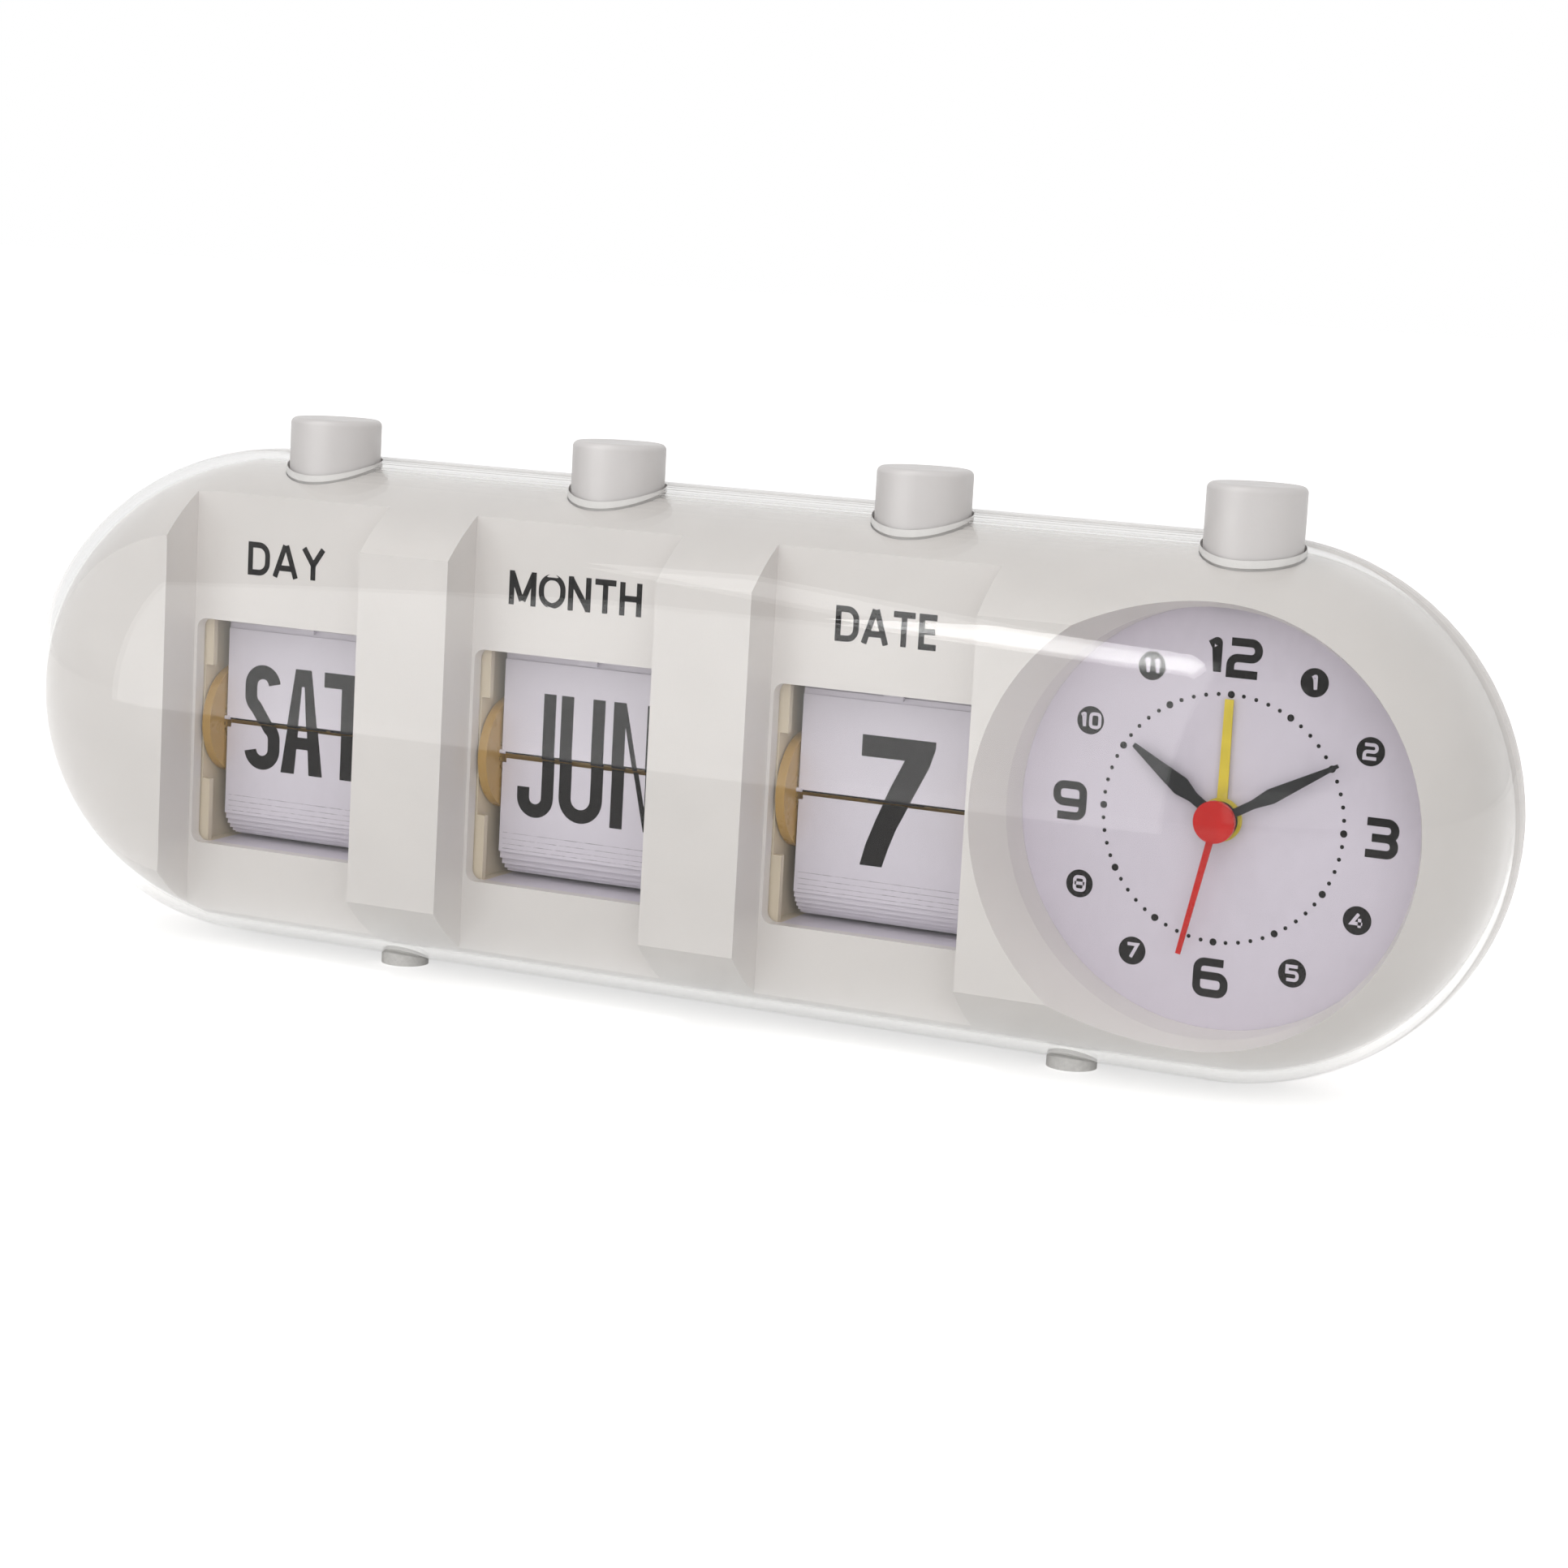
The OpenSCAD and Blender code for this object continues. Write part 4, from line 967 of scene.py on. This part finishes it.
def print_leaf_edges(module, ink, shade_ink):
    """A painted shadow line where the upper leaf ends, for the shade in the gap between the leaves, and faint
    painted shade lines at the lower edges of the stacked leaves.
    """
    pin_z = JOINTS[module + "_leaf_flip"]["pos_m"][2]
    lower_middle, lower_size = node_box(module + "_lower_leaves")
    front_y, low = leaf_face(module + "_flip_leaf", pin_z + PIN_REACH)
    lower_front, bottom = leaf_face(module + "_lower_leaves", 0, pin_z - PIN_REACH)
    wide = lower_size.x - 2 * STACK_LINE_INSET
    # A black strip on the flip leaf's lower edge: painted shadow of the gap between the upper and lower
    # leaves
    strip = strip_mesh(module + "_split_shadow_line", wide, SPLIT_SHADOW_H)
    strip.transform(facing_front((lower_middle.x, front_y, low + SPLIT_SHADOW_H / 2)))
    add_piece(module + "_split_shadow_line", strip, module + "_flip", ink)
    # Grey strips on the lower leaves: painted shade where the edges of the stacked leaves step back
    lines = bmesh.new()
    for height in STACK_LINES:
        strip = strip_mesh("line", wide, STACK_LINE)
        strip.transform(facing_front((lower_middle.x, lower_front, bottom + height)))
        lines.from_mesh(strip)
        bpy.data.meshes.remove(strip)
    mesh = mesh_from(lines, module + "_stack_shade_lines")
    add_piece(module + "_stack_shade_lines", mesh, "root", shade_ink)


def strip_mesh(name, wide, tall):
    """A thin flat strip, centred."""
    half_w, half_h = wide / 2, tall / 2
    loop = [(-half_w, -half_h), (half_w, -half_h), (half_w, half_h), (-half_w, half_h)]
    return weld(outline_mesh(name, [loop], LEAF_INK_T))


def coil_spring(node, material):
    """A wound wire spring in the place of its node."""
    middle, size = node_box(node)
    wire = SPRING_WIRE_R
    coil_r = size.x / 2 - wire
    low = middle.z - size.z / 2 + wire
    rise = size.z - 2 * wire
    turns = SPRING_TURNS + 2 * SPRING_CLOSED
    mesh = bmesh.new()
    count = round(turns * SPRING_STEPS)
    rings = []
    for i in range(count + 1):
        turn = turns * i / count
        share = climb(turn, turns)
        angle = 2 * math.pi * turn
        out = Vector((math.cos(angle), math.sin(angle), 0))
        centre = Vector((middle.x, middle.y, low + rise * share)) + out * coil_r
        ring = []
        for k in range(SPRING_SIDES):
            a = 2 * math.pi * k / SPRING_SIDES
            ring.append(mesh.verts.new(centre + (out * math.cos(a) + Vector((0, 0, math.sin(a)))) * wire))
        rings.append(ring)
    for first, second in zip(rings, rings[1:]):
        join_loops(mesh, first, second)
    mesh.faces.new(rings[0][::-1])
    mesh.faces.new(rings[-1])
    bmesh.ops.recalc_face_normals(mesh, faces=mesh.faces)
    data = mesh_from(mesh, node + "_wire")
    for face in data.polygons:
        face.use_smooth = True
    spring = add_piece(node + "_wire", data, "root", material)
    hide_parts(node)
    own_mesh(spring)


def climb(turn, turns):
    """How far up the spring the wire is after some turns: its end turns lie close together."""
    closed = SPRING_CLOSED
    close_rise = closed * SPRING_CLOSE_SHARE
    if turn < closed:
        return turn * SPRING_CLOSE_SHARE
    if turn > turns - closed:
        return 1 - (turns - turn) * SPRING_CLOSE_SHARE
    return close_rise + (1 - 2 * close_rise) * (turn - closed) / (turns - 2 * closed)


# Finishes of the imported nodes


def paint(node, material):
    """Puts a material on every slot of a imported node."""
    data = frame["nodes"][node].data
    for index in range(len(data.materials)):
        data.materials[index] = material


def frame_split(module):
    """Where a frame's cream left side ends: at the left edge of its leaves."""
    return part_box(module + "_lower_leaves")[0].x - FRAME_SPLIT


def finish_nodes(finishes):
    """Puts each material on its nodes."""
    for material, nodes in finishes:
        for node in nodes:
            paint(node, material)


# Studio


def plain_floor():
    """A pale floor that shows white to the camera but keeps the object's shadow."""
    mesh = bpy.data.meshes.new("floor")
    signs = ((-1, -1), (1, -1), (1, 1), (-1, 1))
    mesh.from_pydata([(x * FLOOR_SIZE, y * FLOOR_SIZE, 0) for x, y in signs], [], [(0, 1, 2, 3)])
    floor = new_object("floor", mesh)
    material, shader = new_material("floor_white", FLOOR_WHITE, 0.9)
    shader.inputs["Specular IOR Level"].default_value = FLOOR_GLOSS
    path = add_node(material, "ShaderNodeLightPath")
    seen = seen_rays(material, path)
    glow = add_node(material, "ShaderNodeEmission")
    scaled = add_node(material, "ShaderNodeMath", operation="MULTIPLY")
    scaled.inputs[1].default_value = FLOOR_GLOW
    wire(material, seen, scaled.inputs[0])
    wire(material, scaled.outputs[0], glow.inputs["Strength"])
    both = add_node(material, "ShaderNodeAddShader")
    wire(material, shader.outputs["BSDF"], both.inputs[0])
    wire(material, glow.outputs["Emission"], both.inputs[1])
    wire(material, both.outputs[0], material.node_tree.nodes["Material Output"].inputs["Surface"])
    mesh.materials.append(material)
    return floor


def seen_rays(material, path):
    """One for camera, glossy and transmission rays, nought for the rays that light the object."""
    value = path.outputs["Is Camera Ray"]
    for name in ("Is Glossy Ray", "Is Transmission Ray"):
        either = add_node(material, "ShaderNodeMath", operation="MAXIMUM")
        wire(material, value, either.inputs[0])
        wire(material, path.outputs[name], either.inputs[1])
        value = either.outputs[0]
    return value


def white_world():
    """Soft light from all round; the camera, glossy and transmission rays see plain white."""
    world = bpy.data.worlds.new("studio")
    bpy.context.scene.world = world
    world.use_nodes = True
    nodes, links = world.node_tree.nodes, world.node_tree.links
    nodes.clear()
    soft = nodes.new("ShaderNodeBackground")
    soft.inputs["Color"].default_value = (*WORLD_LIGHT, 1)
    soft.inputs["Strength"].default_value = WORLD_STRENGTH
    seen = nodes.new("ShaderNodeBackground")
    seen.inputs["Color"].default_value = (1, 1, 1, 1)
    seen.inputs["Strength"].default_value = 1.0
    mix = nodes.new("ShaderNodeMixShader")
    links.new(seen_rays(world, nodes.new("ShaderNodeLightPath")), mix.inputs["Fac"])
    links.new(soft.outputs[0], mix.inputs[1])
    links.new(seen.outputs[0], mix.inputs[2])
    output = nodes.new("ShaderNodeOutputWorld")
    links.new(mix.outputs[0], output.inputs["Surface"])


def softbox(name, place, target, width, height, power):
    """A rectangular lamp at place, aimed at target."""
    light = bpy.data.lights.new(name, "AREA")
    light.shape = "RECTANGLE"
    light.size = width
    light.size_y = height
    light.energy = power
    lamp = new_object(name, light)
    lamp.location = place
    lamp.rotation_euler = (Vector(target) - Vector(place)).to_track_quat("-Z", "Y").to_euler()
    return lamp


def reflector(name, start, end):
    """An upright card from start to end on the floor plan; it shows only as a veil on glossy pieces."""
    first, last = Vector((*start, 0)), Vector((*end, 0))
    height = CARD_TOP - CARD_BOTTOM
    width = (last - first).length
    inward = Vector((0, 0, 1)).cross(last - first).normalized()
    place = (first + last) / 2 + Vector((0, 0, (CARD_TOP + CARD_BOTTOM) / 2))
    lamp = softbox(name, place, place + inward, width, height, CARD_RADIANCE * math.pi * width * height)
    lamp.visible_camera = False
    lamp.visible_diffuse = False


def lamp_place(azimuth, elevation, distance):
    """A place seen from TARGET: azimuth in degrees from straight ahead, to the right, and elevation."""
    across, up = math.radians(azimuth), math.radians(elevation)
    way = Vector((math.sin(across) * math.cos(up), -math.cos(across) * math.cos(up), math.sin(up)))
    return TARGET + way * distance


def soft_lamps():
    """The lamps round the object."""
    for name, azimuth, elevation, distance, shift, width, height, power, mirrored in LAMPS:
        place = lamp_place(azimuth, elevation, distance) + shift
        lamp = softbox(name, place, TARGET + shift, width, height, power)
        lamp.visible_glossy = mirrored


def photo_camera():
    """The camera at the photograph's place, turned by its yaw, pitch and roll."""
    ahead = Vector((-math.sin(CAMERA_YAW), math.cos(CAMERA_YAW), 0))
    level = Vector((math.cos(CAMERA_YAW), math.sin(CAMERA_YAW), 0))
    forward = ahead * math.cos(CAMERA_PITCH) - Vector((0, 0, math.sin(CAMERA_PITCH)))
    upright = level.cross(forward)
    right = level * math.cos(CAMERA_ROLL) + upright * math.sin(CAMERA_ROLL)
    up = upright * math.cos(CAMERA_ROLL) - level * math.sin(CAMERA_ROLL)
    data = bpy.data.cameras.new("camera")
    data.sensor_width = SENSOR_WIDTH
    data.lens = FOCAL_PIXELS * SENSOR_WIDTH / IMAGE_SIZE
    data.clip_start = CLIP_START
    camera = new_object("camera", data)
    turned = Matrix((right, up, -forward)).transposed().to_4x4()
    camera.matrix_world = Matrix.Translation(CAMERA_PLACE) @ turned
    bpy.context.scene.camera = camera


# The scene

photo_camera()
bpy.context.scene.view_settings.view_transform = "Standard"
plain_floor()
white_world()
soft_lamps()
reflector("front_card", (CARD_LEFT, CARD_FRONT), (CARD_RIGHT, CARD_FRONT))

white = moulded_plastic("white_plastic_moulded", WHITE_PLASTIC, 0.38)
button_white = moulded_plastic("button_plastic", BUTTON_WHITE, 0.42)
cover_clear = clear_plastic("clear_acrylic", CLEAR_TINT, 0.015)
cover_edge = printed_sheet("acrylic_hole_edge", HOLE_EDGE, 0.5)
leaf = printed_sheet("leaf_film", LEAF_LAVENDER, 0.45)
dial_paper = printed_sheet("dial_paper", DIAL_LAVENDER, 0.5)
knockout = printed_sheet("numeral_paper", DIAL_LAVENDER, 0.5)
# The black ink of the print; it also paints the shadow line under each upper leaf
ink = printed_ink("black_ink", INK)
# Painted shade for the lines at the lower edges of the stacked leaves
painted_edge_shade = printed_ink("leaf_edge_shade", shade(LEAF_LAVENDER, EDGE_SHADE))
spring_steel = drawn_metal("spring_wire", DRAWN_STEEL, 0.25, (1, 1, 0.3))
amber = moulded_plastic("amber_drum", AMBER, 0.3, soft=0.12)
grey = moulded_plastic("grey_switch", SWITCH_GREY, 0.5, soft=0)
foot_pad = rubber("foot_elastomer", FOOT_WHITE_PAINTED_LIGHT)
red = enamel("red_enamel", RED_PAINT, 0.28)
yellow = enamel("yellow_enamel", YELLOW_PAINT, 0.35)
black = enamel("black_enamel", BLACK_PAINT, 0.35)
steel = drawn_metal("bright_steel", BRIGHT_STEEL, 0.28)
axle_steel = drawn_metal("axle_steel", DRAWN_STEEL, 0.24, (0.05, 1, 1))
brass_disc = drawn_metal("brass_sheet", BRASS, 0.3, (1, 0.1, 1))
board = board_laminate("green_board", BOARD_GREEN)
wheel_white = moulded_plastic("wheel_acetal", ACETAL_WHITE, 0.32)
rotor_magnet = enamel("rotor_magnet", MAGNET_BLACK, 0.4)
cell_middle, cell_size = node_box("battery_cell")
wrap_split = cell_middle.x + cell_size.x * WRAP_SPLIT_SHARE
wrap = banded_wrap("cell_jacket", WRAP_BLACK, WRAP_COPPER, wrap_split)

finish_nodes((
    (white, ("rear_housing", "fascia", "battery_door", "time_knob", "alarm_knob")),
    (button_white, ("snooze_button", "day_button", "month_button", "date_button")),
    (foot_pad, ("feet",)),
    (steel, ("case_screws", "contact_spring", "contact_plate", "motor_stator", "snooze_spring", "day_spring",
             "month_spring", "date_spring")),
    (axle_steel, ("day_axle", "month_axle", "date_axle")),
    (wrap, ("battery_cell",)),
    (dial_paper, ("dial",)),
    (wheel_white, ("movement_front", "movement_back", "alarm_wheel", "hour_wheel", "minute_wheel",
                   "second_wheel")),
    (board, ("circuit_board",)),
    (brass_disc, ("buzzer", "motor_coil")),
    (rotor_magnet, ("motor_rotor",)),
    (yellow, ("alarm_hand",)),
    (black, ("hour_hand", "minute_hand")),
    (red, ("second_hand",)),
    (grey, ("alarm_switch",)),
))
for module in MODULES:
    finish_nodes((
        (two_part_plastic(module + "_frame_plastic", FRAME_CREAM, LEAF_LAVENDER, frame_split(module)),
         (module + "_frame",)),
        (amber, (module + "_drum", module + "_ratchet")),
        (leaf, (module + "_rear_leaves", module + "_upper_leaves", module + "_lower_leaves",
                module + "_flip_leaf")),
    ))
    print_leaf_word(module, ink)
    print_leaf_edges(module, ink, painted_edge_shade)
    coil_spring(module + "_spring", spring_steel)
coil_spring("snooze_spring", spring_steel)
cover_shell(cover_clear, cover_edge)
print_dial(ink, knockout)
print_labels(ink)
